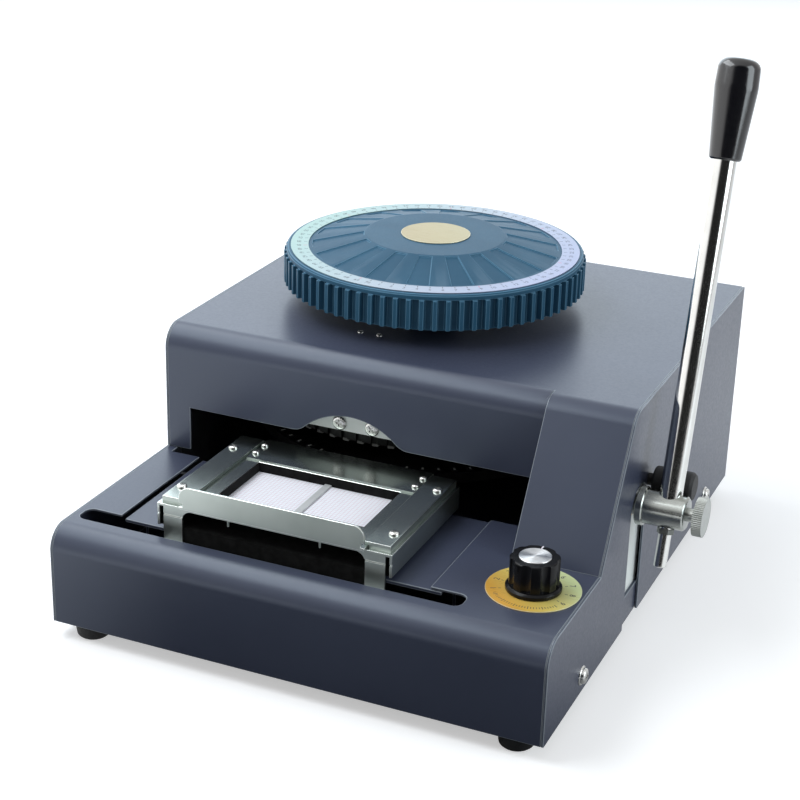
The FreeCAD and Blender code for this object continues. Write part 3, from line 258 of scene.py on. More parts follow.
def soft_box(name, place, size, power, colour):
    bpy.ops.object.light_add(type="AREA", location=place)
    lamp = bpy.context.object
    lamp.name = name
    lamp.data.shape = "RECTANGLE"
    lamp.data.size, lamp.data.size_y = size
    lamp.data.energy = power
    lamp.data.color = colour
    aim = machine_middle - Vector(place)
    lamp.rotation_euler = aim.to_track_quat("-Z", "Y").to_euler()
    lamp.visible_camera = False


soft_box("back_box", (-0.8, 1.6, 0.85), (2.6, 1.3), 13.0, blue_white)
soft_box("top_box", (-0.40, -0.12, 0.80), (1.0, 0.45), 6.0, pale_white)
soft_box("left_box", (-1.3, -0.6, 1.1), (0.8, 0.8), 2.0, pale_white)
soft_box("right_box", (1.5, -0.1, 0.7), (0.9, 1.1), 11.0, cool_white)

# %% [markdown]
# ## What most finishes share
# A real surface is never one colour. Paint has a faint mottle, plated steel has a grind line, and plastic has the skin
# of its mould. Small helpers give that: a noise, a colour that moves between two tones with it, and a bump. One more
# paints the rounded edges a paler tone, a painted highlight. One more joins them to a whole finish, whose roughness
# follows the grain. The size of the noise is given in millimetres, which is how a maker thinks.

# %% Noise, tone and skin
def noise(finish, grain_mm, stretch=(1, 1, 1), detail=3.0):
    made = add_node(finish, "ShaderNodeTexNoise", {"Scale": 1.0 / (grain_mm * mm), "Detail": detail})
    wire(finish, spot(finish, stretch), made.inputs["Vector"])
    return made.outputs[0]


def tones(finish, value, *stops):
    """A colour ramp: each stop is (position, (r, g, b))."""
    ramp = add_node(finish, "ShaderNodeValToRGB")
    places = ramp.color_ramp.elements
    while len(places) < len(stops):
        places.new(0.5)
    for place, (position, colour) in zip(places, stops):
        place.position = position
        place.color = (*colour, 1)
    wire(finish, value, ramp.inputs[0])
    return ramp.outputs[0]


def skin(finish, shader, value, depth_mm, strength=1.0):
    bump = add_node(finish, "ShaderNodeBump", {"Strength": strength, "Distance": depth_mm * mm})
    wire(finish, value, bump.inputs["Height"])
    wire(finish, bump.outputs[0], shader.inputs["Normal"])


def edge_highlight(finish, colour, highlight_colour, share):
    """The same colour with the rounded edges painted paler, a painted highlight; the mesh marks them in an attribute.
    """
    mark = add_node(finish, "ShaderNodeAttribute", attribute_name="edge")
    rounded = between(finish, mark.outputs["Fac"], 0.0, share, 0.0, 1.0)
    return mix(finish, "RGBA", rounded, colour, (*highlight_colour, 1))


def coloured(name, dark, light, mottle_mm, rough, grain_mm, depth_mm,
             stretch=(1, 1, 1), metal=0.0, gloss=0.5, edge=None):
    """A finish with two close tones, a grain with a bump, and a roughness that follows the grain."""
    finish, shader = blank_finish(name)
    tone = tones(finish, noise(finish, mottle_mm), (0.3, dark), (0.7, light))
    if edge:
        tone = edge_highlight(finish, tone, *edge)
    wire(finish, tone, shader.inputs["Base Color"])
    fine = noise(finish, grain_mm, stretch)
    wire(finish, between(finish, fine, *rough), shader.inputs["Roughness"])
    skin(finish, shader, fine, depth_mm)
    shader.inputs["Metallic"].default_value = metal
    shader.inputs["Specular IOR Level"].default_value = gloss
    return finish


finishes = {}
print("finish helpers ready")

# %% [markdown]
# ## The casing's paint
# The sheets are sprayed with a dark slate satin enamel. It has a faint orange-peel skin, and its cut edges carry a
# painted highlight: they are coloured paler. Those edges are rounded further below, and the new faces are marked there.

# %% Casing paint
def casing_paint():
    finish, shader = blank_finish("casing_paint")
    mottle = noise(finish, 60.0)
    body = tones(finish, mottle, (0.3, (0.042, 0.049, 0.080)), (0.7, (0.048, 0.056, 0.090)))
    # The rounded edges get a paler colour, a painted highlight.
    wire(finish, edge_highlight(finish, body, (0.30, 0.33, 0.36), 0.7), shader.inputs["Base Color"])
    peel = noise(finish, 1.6, detail=2.0)
    wire(finish, between(finish, peel, 0.30, 0.38), shader.inputs["Roughness"])
    skin(finish, shader, peel, 0.008, 0.6)
    shader.inputs["Specular Tint"].default_value = (0.82, 0.91, 1.0, 1)
    return finish


finishes["casing_paint"] = casing_paint()
print("paint ready")

# %% [markdown]
# ## Metals, rubber and plain plastics
# Most of the other materials differ only in tone, grain and gloss, so one helper makes them. Brushed and ground metals
# stretch their grain along the way the tool went, and rubber and moulded plastic keep it even. Each row has the dark
# and the light tone, the size of the mottle, the range of roughness, and the grain's size and depth. The stretch, the
# metal, the gloss and the edge follow in the rows where they differ from the usual; the edge is a paler colour on the
# rounded edges, a painted highlight.

# %% Plain finishes
along_x, along_y, along_z = (0.03, 1, 1), (1, 0.03, 1), (1, 1, 0.03)
plain = {
    "black_rubber": ((0.010, 0.010, 0.011), (0.018, 0.018, 0.019), 6, (0.55, 0.75), 0.5, 0.05),
    "bright_screws": ((0.60, 0.60, 0.58), (0.72, 0.72, 0.70), 3, (0.16, 0.30), 0.4, 0.01, (1, 1, 1), 1.0),
    "frame_steel": ((0.30, 0.31, 0.32), (0.40, 0.41, 0.42), 20, (0.32, 0.48), 0.5, 0.02, along_z, 1.0),
    "pale_block": ((0.80, 0.84, 0.82), (0.88, 0.91, 0.89), 15, (0.45, 0.60), 0.8, 0.04, along_z, 0.2),
    "brass_bush": ((0.62, 0.44, 0.18), (0.72, 0.54, 0.26), 5, (0.22, 0.36), 0.4, 0.01, along_x, 1.0),
    "dark_disc": ((0.02, 0.02, 0.02), (0.04, 0.04, 0.04), 8, (0.30, 0.45), 0.6, 0.02, (1, 1, 1), 0.8),
    # The dial's rounded edges are painted a paler blue, a painted highlight.
    "dial_plastic": ((0.022, 0.080, 0.140), (0.030, 0.098, 0.165), 25, (0.40, 0.50), 0.7, 0.01, (1, 1, 1), 0.0, 0.1,
                     ((0.12, 0.26, 0.38), 0.6)),
    "handle_chrome": ((0.66, 0.66, 0.64), (0.74, 0.74, 0.72), 12, (0.07, 0.16), 0.3, 0.004, along_z, 1.0),
    "dark_nut": ((0.14, 0.15, 0.14), (0.20, 0.21, 0.20), 3, (0.30, 0.45), 0.4, 0.02, (1, 1, 1), 0.9),
    "black_gloss": ((0.004, 0.004, 0.005), (0.007, 0.007, 0.008), 12, (0.14, 0.22), 2.5, 0.006, (1, 1, 1), 0.0, 0.15),
    "knurled_nickel": ((0.38, 0.40, 0.38), (0.46, 0.48, 0.46), 4, (0.26, 0.38), 0.4, 0.01, (1, 1, 1), 1.0),
}
for name, values in plain.items():
    finishes[name] = coloured(name, *values)
print("plain finishes:", len(plain))

# %% [markdown]
# ## Sheet steel and punches
# The carriage and the tray are folded from stainless sheet. Its flat tops are polished by the cards that slide over
# them and mirror the dark mouth, and the faces that stand up keep a satin grind. The direction of the surface tells the
# two apart. Their rounded edges are painted paler, a painted highlight. The punches are coloured near black, and a band
# at their tips is painted lighter, a painted glint.

# %% Steel and punch finishes
def carriage_steel():
    finish, shader = blank_finish("carriage_steel")
    tone = tones(finish, noise(finish, 30), (0.3, (0.44, 0.49, 0.46)), (0.7, (0.52, 0.57, 0.54)))
    # The rounded edges are painted nearly white, a painted highlight.
    wire(finish, edge_highlight(finish, tone, (0.88, 0.90, 0.88), 0.8), shader.inputs["Base Color"])
    way = add_node(finish, "ShaderNodeSeparateXYZ")
    wire(finish, add_node(finish, "ShaderNodeNewGeometry").outputs["Normal"], way.inputs[0])
    polish = between(finish, way.outputs["Z"], 0.34, 0.20, 0.4, 0.9)
    grind = noise(finish, 0.2, along_x)
    wire(finish, calc(finish, "ADD", polish, between(finish, grind, -0.03, 0.05)), shader.inputs["Roughness"])
    skin(finish, shader, grind, 0.001)
    shader.inputs["Metallic"].default_value = 1.0
    return finish


def glint_tipped_steel(name, tip_z, glint_colour):
    """Steel coloured near black, with a painted glint: lighter within a millimetre of a height, and dark beyond two."""
    finish, shader = blank_finish(name)
    place = add_node(finish, "ShaderNodeSeparateXYZ")
    wire(finish, spot(finish, centre=(0, 0, tip_z)), place.inputs[0])
    # Painted glint: the band within a millimetre of the tips is coloured lighter.
    tip = between(finish, calc(finish, "ABSOLUTE", place.outputs["Z"]), 1.0, 0.0, 1.0 * mm, 2.0 * mm)
    wire(finish, tones(finish, tip, (0.0, (0.02, 0.02, 0.02)), (1.0, glint_colour)), shader.inputs["Base Color"])
    wire(finish, between(finish, noise(finish, 0.4, along_z), 0.25, 0.40), shader.inputs["Roughness"])
    shader.inputs["Metallic"].default_value = 0.3
    return finish


finishes["carriage_steel"] = carriage_steel()
finishes["punch_steel"] = glint_tipped_steel("punch_steel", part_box("type_punches")[0].z, (0.30, 0.30, 0.29))
print("steel ready")

# %% [markdown]
# ## Foils, the grid and the spun cap
# The dial's ring is a foil that shifts from mint to lavender, and the badge and the knob's plate are gold foil with a
# brushed sheen; the plate's shift from orange to greenish gold across it is a painted reflection, and the gold's
# rounded edges carry a painted highlight. The tray's insert is white with a fine pink grid. The knob's cap is turned
# aluminium, whose rings come from the tool. Each pattern is centred on its own piece, which the model's boxes give.

# %% Patterned finishes
def middle(node):
    low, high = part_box(node)
    return (low + high) / 2


def scale_foil():
    finish, shader = blank_finish("scale_foil")
    across = add_node(finish, "ShaderNodeSeparateXYZ")
    wire(finish, spot(finish, centre=middle("dial_scale_ring")), across.inputs[0])
    value = between(finish, across.outputs["X"], 0.0, 1.0, -90 * mm, 90 * mm)
    shift = tones(finish, value, (0.0, (0.23, 0.37, 0.34)), (0.5, (0.27, 0.32, 0.38)), (1.0, (0.25, 0.28, 0.43)))
    wire(finish, shift, shader.inputs["Base Color"])
    fine = noise(finish, 0.6)
    wire(finish, between(finish, fine, 0.28, 0.40), shader.inputs["Roughness"])
    skin(finish, shader, fine, 0.005)
    shader.inputs["Metallic"].default_value = 0.35
    return finish


def gold_foil(name, node, shades, metal):
    """Gold that runs through three shades, from the piece's near left to its far right, as a painted reflection; its
    rounded edges get a painted highlight.
    """
    finish, shader = blank_finish(name)
    across = add_node(finish, "ShaderNodeSeparateXYZ")
    wire(finish, spot(finish, centre=middle(node)), across.inputs[0])
    aslant = calc(finish, "ADD", across.outputs["X"], across.outputs["Y"])
    value = between(finish, aslant, 0.0, 1.0, -30 * mm, 30 * mm)
    # Painted reflection: the gold shifts in colour and brightness across the piece.
    gold = tones(finish, value, *zip((0.0, 0.5, 1.0), shades))
    # The rounded edges are painted paler, a painted highlight.
    wire(finish, edge_highlight(finish, gold, (0.80, 0.78, 0.60), 0.7), shader.inputs["Base Color"])
    fine = noise(finish, 0.4, along_x)
    wire(finish, between(finish, fine, 0.26, 0.40), shader.inputs["Roughness"])
    skin(finish, shader, fine, 0.004)
    shader.inputs["Metallic"].default_value = metal
    return finish


def grid_white():
    finish, shader = blank_finish("grid_white")
    pitch, line = 2.3 * mm, 0.2 * mm
    sizes = {"Scale": 1.0, "Brick Width": pitch, "Row Height": pitch, "Mortar Size": line, "Mortar Smooth": 0.3}
    inks = {"Color1": (0.86, 0.88, 0.94, 1), "Color2": (0.83, 0.85, 0.91, 1), "Mortar": (0.74, 0.61, 0.68, 1)}
    cells = add_node(finish, "ShaderNodeTexBrick", {**sizes, **inks}, offset=0.0)
    wire(finish, spot(finish, centre=middle("grid_insert")), cells.inputs["Vector"])
    wire(finish, cells.outputs["Color"], shader.inputs["Base Color"])
    wire(finish, between(finish, noise(finish, 0.8), 0.40, 0.55), shader.inputs["Roughness"])
    skin(finish, shader, cells.outputs[1], 0.08)
    return finish


def spun_aluminium():
    finish, shader = blank_finish("spun_aluminium")
    rings = add_node(finish, "ShaderNodeTexWave", {"Scale": 600.0, "Distortion": 0.6, "Detail": 2.0},
                     wave_type="RINGS", rings_direction="Z")
    wire(finish, spot(finish, centre=middle("knob_cap")), rings.inputs["Vector"])
    wire(finish, tones(finish, rings.outputs[1], (0.2, (0.70, 0.71, 0.72)), (0.8, (0.82, 0.83, 0.84))),
         shader.inputs["Base Color"])
    wire(finish, between(finish, rings.outputs[1], 0.28, 0.36), shader.inputs["Roughness"])
    skin(finish, shader, rings.outputs[1], 0.002)
    shader.inputs["Metallic"].default_value = 1.0
    shader.inputs["Anisotropic"].default_value = 0.85
    shader.inputs["Anisotropic Rotation"].default_value = 0.25
    lathe = add_node(finish, "ShaderNodeTangent", direction_type="RADIAL", axis="Z")
    wire(finish, lathe.outputs[0], shader.inputs["Tangent"])
    return finish


for make in (scale_foil, grid_white, spun_aluminium):
    finishes[make.__name__] = make()
# The plate's shades, orange to bright yellow to greenish, are a painted reflection; the badge's are nearly even.
plate_shades = ((0.72, 0.38, 0.05), (0.84, 0.68, 0.18), (0.70, 0.78, 0.40))
badge_shades = ((0.26, 0.20, 0.085), (0.27, 0.215, 0.095), (0.27, 0.225, 0.105))
finishes["gold_foil"] = gold_foil("gold_foil", "knob_scale_plate", plate_shades, 0.2)
own_finish = {
    "dial_badge": gold_foil("badge_foil", "dial_badge", badge_shades, 0.8),
    "handle_grip": coloured("grip_gloss", (0.004, 0.004, 0.006), (0.007, 0.007, 0.009), 12, (0.12, 0.18), 2.5, 0.004,
                            gloss=0.8),
    "handle_hub": coloured("satin_nickel", (0.36, 0.38, 0.36), (0.44, 0.46, 0.44), 10, (0.20, 0.28), 0.3, 0.002,
                           along_x, 1.0),
    "divider_bar": coloured("divider_satin", (0.50, 0.51, 0.52), (0.60, 0.61, 0.62), 10, (0.40, 0.50), 0.3, 0.003,
                            along_y, 0.4),
}
print("finishes in all:", len(finishes) + len(own_finish))

# %% [markdown]
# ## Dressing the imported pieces
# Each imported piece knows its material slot, so every one gets its finish in one loop. Most pieces that stay hidden
# inside the housing are then done, and the ones that show are made finer below.

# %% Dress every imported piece
for name, piece in nodes.items():
    piece.data.materials.clear()
    piece.data.materials.append(own_finish.get(name, finishes[node_slot[name]]))
print("dressed", len(nodes), "packed pieces")

# %% [markdown]
# ## Softening edges
# A cut sheet never has a razor edge: it is broken with a file, and the paint rounds it further. A copy of the
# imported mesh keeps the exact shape, so it is the safest start. Its loose triangles are merged, flat ones become
# single faces again, and a Bevel modifier breaks every edge that is sharper than a set angle. The new faces are
# marked for the finishes, and Weighted Normal keeps the flat faces flat in the light.

# %% Soften helper
sharp_angle = math.radians(35)
flat_angle = math.radians(0.3)
same_place = 0.002 * mm


def hold(piece):
    """Makes one piece the only one selected."""
    if bpy.context.mode != "OBJECT":
        bpy.ops.object.mode_set(mode="OBJECT")
    bpy.ops.object.select_all(action="DESELECT")
    piece.select_set(True)
    bpy.context.view_layer.objects.active = piece


def apply_modifier(piece, kind, **settings):
    hold(piece)
    made = piece.modifiers.new(kind.lower(), kind)
    for key, value in settings.items():
        setattr(made, key, value)
    bpy.ops.object.modifier_apply(modifier=made.name)


def merge_doubles():
    """Merges the points of the held piece that lie in one place."""
    bpy.ops.object.mode_set(mode="EDIT")
    bpy.ops.mesh.select_all(action="SELECT")
    bpy.ops.mesh.remove_doubles(threshold=same_place)
    bpy.ops.object.mode_set(mode="OBJECT")


def break_edges(piece, width_mm, clamped):
    """Rounds the sharp edges. The new faces come out in the second of two empty slots, and are marked from that."""
    mesh = piece.data
    mesh.materials.clear()
    mesh.materials.append(None)
    mesh.materials.append(None)
    apply_modifier(piece, "BEVEL", width=width_mm * mm, segments=2, limit_method="ANGLE",
                   angle_limit=sharp_angle, use_clamp_overlap=clamped, material=1)
    merge_doubles()
    rounded = [face.material_index for face in mesh.polygons]
    mesh.attributes.new("edge", "FLOAT", "FACE").data.foreach_set("value", [float(index) for index in rounded])
    mesh.polygons.foreach_set("material_index", [0] * len(rounded))
    bpy.ops.object.shade_smooth_by_angle(angle=sharp_angle)
    apply_modifier(piece, "WEIGHTED_NORMAL", keep_sharp=True)


def merged_copy(name, node):
    piece = bpy.data.objects.new(name, nodes[node].data.copy())
    bpy.context.scene.collection.objects.link(piece)
    hold(piece)
    bpy.ops.mesh.customdata_custom_splitnormals_clear()
    merge_doubles()
    bpy.ops.object.mode_set(mode="EDIT")
    bpy.ops.mesh.dissolve_limited(angle_limit=flat_angle)
    bpy.ops.object.mode_set(mode="OBJECT")
    return piece


def settle(piece, slot, body, *replaced, finish=None):
    """Gives a finished piece its material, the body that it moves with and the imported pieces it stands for."""
    piece.data.materials.clear()
    piece.data.materials.append(finish or finishes[slot])
    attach(piece, body)
    if replaced:
        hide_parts(*replaced)
    faces = sum(len(f.vertices) - 2 for f in piece.data.polygons)
    print(piece.name, "rides on", body, "with", faces, "triangles")


def soften(node, width_mm, clamped=True):
    piece = merged_copy(node + "_dressed", node)
    break_edges(piece, width_mm, clamped)
    settle(piece, node_slot[node], node_body[node], node, finish=own_finish.get(node))
    return piece


print("soften helper ready")

# %% [markdown]
# ## The sheets
# The casing is bent from sheets of 1.5 to 2 mm, and each cut edge is rounded by about half a millimetre. Bevel usually
# clamps its width where edges meet at short lengths, and round the slots that would leave the edges sharp. The sheets
# are plain enough to do without the clamp.

# %% Soften the sheets
soft_sheets = {"housing_cover": 0.5, "front_deck_cover": 0.5, "left_side_panel": 0.5, "right_side_panel": 0.5,
               "back_panel": 0.4, "base_pan": 0.5, "deck_bridge": 0.4}
for node, width in soft_sheets.items():
    soften(node, width, clamped=False)

# %% [markdown]
# ## Carriage and tray
# The slides are thinner and more finely made, so their edges are only broken by a quarter of a millimetre. Here the
# clamp stays on, because short steps meet at the folds and the strips' corners.

# %% Soften the carriage and tray
soft_slides = {"carriage_base": 0.25, "card_tray": 0.3, "guide_strips": 0.3, "tray_clamp_plate": 0.25,
               "divider_bar": 0.25, "ram_cover_plate": 0.25, "upper_type_disc": 0.2, "lower_die_disc": 0.2}
for node, width in soft_slides.items():
    soften(node, width)

# %% [markdown]
# ## Dial, lever and knob
# Turned metal is broken with a touch of the tool, and moulded plastic has a radius wherever the mould was polished.
# Fine parts, such as the screw's knurl and the foils, get the smallest widths.

# %% Soften the dial, lever and knob
soft_turned = {"dial_wheel": 0.35, "dial_badge": 0.2, "dial_scale_ring": 0.2, "handle_hub": 0.3, "handle_rod": 0.3,
               "handle_nut": 0.3, "handle_grip": 0.3, "thumb_screw": 0.15, "spacing_knob": 0.4, "knob_cap": 0.15,
               "knob_scale_plate": 0.2, "stop_bumper": 0.4, "rubber_feet": 0.5}
for node, width in soft_turned.items():
    soften(node, width)

# %% [markdown]
# ## The stop bumper
# At rest the lever leans against a rubber bumper on the side panel. It looks slimmer in the photograph than the
# packed one is, and rubber that carries a lever for years is squeezed as well. So the dressed copy is drawn in with
# Resize, about a point on the panel and on the side that the lever touches. Both contacts then stay where they were.

# %% Draw in the bumper
bumper_low, bumper_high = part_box("stop_bumper")
squeeze = (0.92, 0.72, 0.72)
touch = Vector((bumper_low.x, bumper_low.y, (bumper_low.z + bumper_high.z) / 2))
hold(bpy.data.objects["stop_bumper_dressed"])
bpy.ops.object.mode_set(mode="EDIT")
bpy.ops.mesh.select_all(action="SELECT")
bpy.ops.transform.resize(value=squeeze, center_override=touch)
bpy.ops.object.mode_set(mode="OBJECT")
print("bumper drawn in to", squeeze)

# %% [markdown]
# ## The return spring
# Inside the housing a leaf of spring steel pushes the press arm back after each stroke. Its foot is fixed to the pan
# and its tip leans on the arm, so it bends when the lever is pulled. A mesh bends only where it has edges, so Bisect
# cuts the leaf into short lengths.

# %% The return spring
leaf_lengths = 12
leaf_edge_mm = 0.1
leaf_foot, leaf_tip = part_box("return_spring")
leaf = merged_copy("return_spring_dressed", "return_spring")
bpy.ops.object.mode_set(mode="EDIT")
for step in range(1, leaf_lengths):
    bpy.ops.mesh.select_all(action="SELECT")
    bpy.ops.mesh.bisect(plane_co=leaf_foot.lerp(leaf_tip, step / leaf_lengths), plane_no=(0, 0, 1))
bpy.ops.object.mode_set(mode="OBJECT")
break_edges(leaf, leaf_edge_mm, True)
leaf.data.materials.clear()
leaf.data.materials.append(finishes["frame_steel"])
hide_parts("return_spring")
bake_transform(leaf)
print("spring bends between housing and press_arm, in", leaf_lengths, "lengths")

# %% [markdown]
# ## Cross-head screws
# Every screw that shows is a pan head with a cross recess. On the real machine they are cold-headed: a die presses
# the dome and the cross in two blows. Here one head is made with a radius of 1, from a cylinder whose top is inset
# and raised in four steps into a dome. The recess is cut by two tapered bars. A washer is made in the same way.

# %% The master screw head
round_angle = math.radians(40)
rim_points = 40
head_rim = 0.2
dome_steps = ((0.05, 0.16), (0.10, 0.12), (0.20, 0.09), (0.30, 0.03))
recess_bars = ((1.15, 0.26, 0.7), (0.26, 1.15, 0.7))
recess_middle = (0, 0, 0.6)
recess_taper = (0.6, 0.6, 1)
washer_slope, washer_rim = 0.4, 0.08
flat_share = 0.9


def set_down(piece):
    """Applies a piece's place, turn and scale, so that it stands at the origin, unturned and unscaled."""
    hold(piece)
    bpy.ops.object.transform_apply(location=True, rotation=True, scale=True)


def pick_faces(piece, wanted):
    """Opens a piece for editing with only the wanted faces selected; the test gets a face's normal."""
    hold(piece)
    bpy.ops.object.mode_set(mode="EDIT")
    bpy.ops.mesh.select_mode(type="FACE")
    bpy.ops.mesh.select_all(action="DESELECT")
    bpy.ops.object.mode_set(mode="OBJECT")
    for face in piece.data.polygons:
        face.select = wanted(face.normal)
    bpy.ops.object.mode_set(mode="EDIT")


def new_box(name, centre, size):
    bpy.ops.object.select_all(action="DESELECT")
    bpy.ops.mesh.primitive_cube_add(size=1.0, location=centre)
    box = bpy.context.object
    box.name = name
    box.scale = size
    set_down(box)
    return box


def faces_up(normal):
    return normal.z > flat_share


def faces_down(normal):
    return normal.z < -flat_share


def new_disc(height):
    """A disc with a radius of 1 that stands on the origin, opened for editing with its top face selected."""
    bpy.ops.object.select_all(action="DESELECT")
    bpy.ops.mesh.primitive_cylinder_add(vertices=rim_points, radius=1.0, depth=height, location=(0, 0, height / 2))
    disc = bpy.context.object
    set_down(disc)
    pick_faces(disc, faces_up)
    return disc


def narrow(piece, side, shares):
    """Draws in the faces on one side of a piece, about their own middle."""
    pick_faces(piece, side)
    bpy.ops.transform.resize(value=shares)
    bpy.ops.object.mode_set(mode="OBJECT")


def smooth(piece):
    hold(piece)
    bpy.ops.object.shade_smooth_by_angle(angle=round_angle)


def master_head():
    head = new_disc(head_rim)
    for inset, rise in dome_steps:
        bpy.ops.mesh.inset(thickness=inset, depth=rise)
    bpy.ops.object.mode_set(mode="OBJECT")
    for size in recess_bars:
        bar = new_box("recess_bar", recess_middle, size)
        narrow(bar, faces_down, recess_taper)
        apply_modifier(head, "BOOLEAN", object=bar, operation="DIFFERENCE", solver="EXACT")
        bpy.data.objects.remove(bar)
    smooth(head)
    return head


def master_washer():
    """A disc of height 1 whose rim slopes: its top is lowered first and then raised again on a smaller face."""
    washer = new_disc(1.0)
    bpy.ops.transform.translate(value=(0, 0, -washer_slope))
    bpy.ops.mesh.inset(thickness=washer_rim, depth=washer_slope)
    smooth(washer)
    return washer


screw_head = master_head()
screw_washer = master_washer()
head_rise = max(v.co.z for v in screw_head.data.vertices)
print("master head", len(screw_head.data.polygons), "faces, height", round(head_rise, 2))

# %% [markdown]
# ## Screws in their places
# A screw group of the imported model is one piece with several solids. Separating a copy gives the box of each, and a
# box tells the rest: a screw is round across its axis, so the two equal sides give its radius. The head is copied to
# each place, scaled to that screw and turned a little further each time, and the wide ones get a washer.

# %% Screws in their places
washer_rise = 0.8 * mm
small_rise = 0.9 * mm
small_radius, washer_radius = 2 * mm, 5 * mm
head_share = 0.82
turn_step = 0.9


def solid_boxes(node):
    """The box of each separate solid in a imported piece."""
    hold(merged_copy(node + "_part", node))
    bpy.ops.mesh.separate(type="LOOSE")
    boxes = []
    for part in bpy.context.selected_objects:
        corners = [v.co for v in part.data.vertices]
        boxes.append((Vector(map(min, zip(*corners))), Vector(map(max, zip(*corners)))))
    bpy.ops.object.delete()
    return boxes


def placed_copy(master, place, way, turn, size):
    copy = bpy.data.objects.new(master.name + "_copy", master.data.copy())
    bpy.context.scene.collection.objects.link(copy)
    stand = way.to_track_quat("Z", "Y").to_matrix().to_4x4()
    turned = Matrix.Rotation(turn, 4, "Z") @ Matrix.Diagonal((*size, 1))
    copy.matrix_world = Matrix.Translation(place) @ stand @ turned
    set_down(copy)
    return copy


def joined(name, pieces):
    hold(pieces[0])
    for piece in pieces:
        piece.select_set(True)
    if len(pieces) > 1:
        bpy.ops.object.join()
    pieces[0].name = name
    return pieces[0]


def set_screws(node, rise_mm):
    """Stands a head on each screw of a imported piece; the axis is the one across which the screw is round."""
    heads = []
    for index, (low, high) in enumerate(solid_boxes(node)):
        size, centre = high - low, (low + high) / 2
        axis = min(range(3), key=lambda k: abs(size[k - 1] - size[k - 2]))
        way = Vector((0, 0, 0))
        way[axis] = 1 if axis == 2 or centre[axis] > 0 else -1
        radius = size[axis - 1] / 2
        top = centre + way * size[axis] / 2
        rise = rise_mm * mm if radius > small_radius else small_rise
        if radius > washer_radius:
            seat = top - way * (rise + washer_rise)
            heads.append(placed_copy(screw_washer, seat, way, 0, (radius, radius, washer_rise)))
            radius = radius * head_share
        head_size = (radius, radius, rise / head_rise)
        heads.append(placed_copy(screw_head, top - way * rise, way, turn_step * index, head_size))
    return joined(node + "_dressed", heads)


screw_rises = {"cover_screws": 2.4, "ram_cover_screws": 1.5, "strip_screws": 1.6, "tray_screws": 1.6}
for node, rise in screw_rises.items():
    settle(set_screws(node, rise), "bright_screws", node_body[node], node)
for master in (screw_head, screw_washer):
    bpy.data.objects.remove(master)

# %% [markdown]
# ## The tips of the dies
# Each die on the lower disc ends in a raised figure, and a row of them glints in the dark mouth. At this size only the
# glint shows, so one small block with a drawn-in top is made, copied round the disc, and coloured near white as a
# painted glint.

# %% Die tips
die_count = 70
die_circle = 108.0
tip_size = Vector((1.4, 2.6, 0.2)) * mm
tip_taper = (0.8, 0.95, 1)


def master_tip():
    """A block of 1 by 1 by 1 whose top is drawn in; scaled, it is a die's tip or a stroke of ink."""
    tip = new_box("tip", (0, 0, 0.5), (1, 1, 1))
    narrow(tip, faces_up, tip_taper)
    return tip


def around(node, radius_mm, angle):
    """A point on the top of a flat round piece, at a radius and an angle."""
    centre, reach = middle(node), radius_mm * mm
    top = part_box(node)[1].z
    return Vector((centre.x + reach * math.cos(angle), centre.y + reach * math.sin(angle), top))


def die_angle(step):
    """The angle of a die on its disc; the first one stands at the front."""
    return 2 * math.pi * step / die_count - math.pi / 2


small_block = master_tip()
upward = Vector((0, 0, 1))
tips = []
for step in range(die_count):
    angle = die_angle(step)
    place = around("lower_die_disc", die_circle, angle)
    tips.append(placed_copy(small_block, place, upward, angle + math.pi / 2, tip_size))
# A near-white finish for the tips, a painted glint.
painted_glint_tip = coloured("painted_glint_tip", (0.80, 0.81, 0.79), (0.88, 0.89, 0.87), 2, (0.30, 0.42), 0.3, 0.005, metal=0.2)
settle(joined("die_tips", tips), "punch_steel", "dial", finish=painted_glint_tip)

# %% [markdown]
# ## Printed figures
# The dial's ring is numbered once for each of the seventy punches, and the knob's plate has a short scale. On the
# real machine both are screen-printed foils. Print has no thickness to speak of, so each figure is a text that is
# turned into a thin mesh and stands a fiftieth of a millimetre over the foil. All the figures of one foil are joined
# to one piece, which turns with it. Each tick is the small block of the dies, scaled to a stroke.

# %% Figures and ticks
ink_rise = 0.02 * mm
dial_figure_mm, dial_figure_circle = 3.8, 86.8
dial_tick_mm, dial_tick_circle = (0.5, 2.2), 82.6
red_step, red_first = 10, 8
ink_fade, ink_haze = 1.6, 0.01


def ink(name, colour):
    finish, shader = blank_finish(name)
    fade = noise(finish, 1.5)
    paler = tuple(v * ink_fade + ink_haze for v in colour)
    wire(finish, tones(finish, fade, (0.35, colour), (0.75, paler)), shader.inputs["Base Color"])
    wire(finish, between(finish, fade, 0.45, 0.60), shader.inputs["Roughness"])
    return finish


def figure(words, size_mm, place, turn):
    bpy.ops.object.select_all(action="DESELECT")
    bpy.ops.object.text_add()
    label = bpy.context.object
    label.data.body = words
    label.data.size = size_mm * mm
    label.data.align_x, label.data.align_y = "CENTER", "CENTER"
    label.data.resolution_u = 2
    label.data.extrude = ink_rise / 2
    bpy.ops.object.convert(target="MESH")
    label = bpy.context.object
    label.location, label.rotation_euler = place + Vector((0, 0, ink_rise / 2)), (0, 0, turn)
    set_down(label)
    return label


def tick(width_mm, length_mm, place, turn):
    return placed_copy(small_block, place, upward, turn, (width_mm * mm, length_mm * mm, ink_rise))


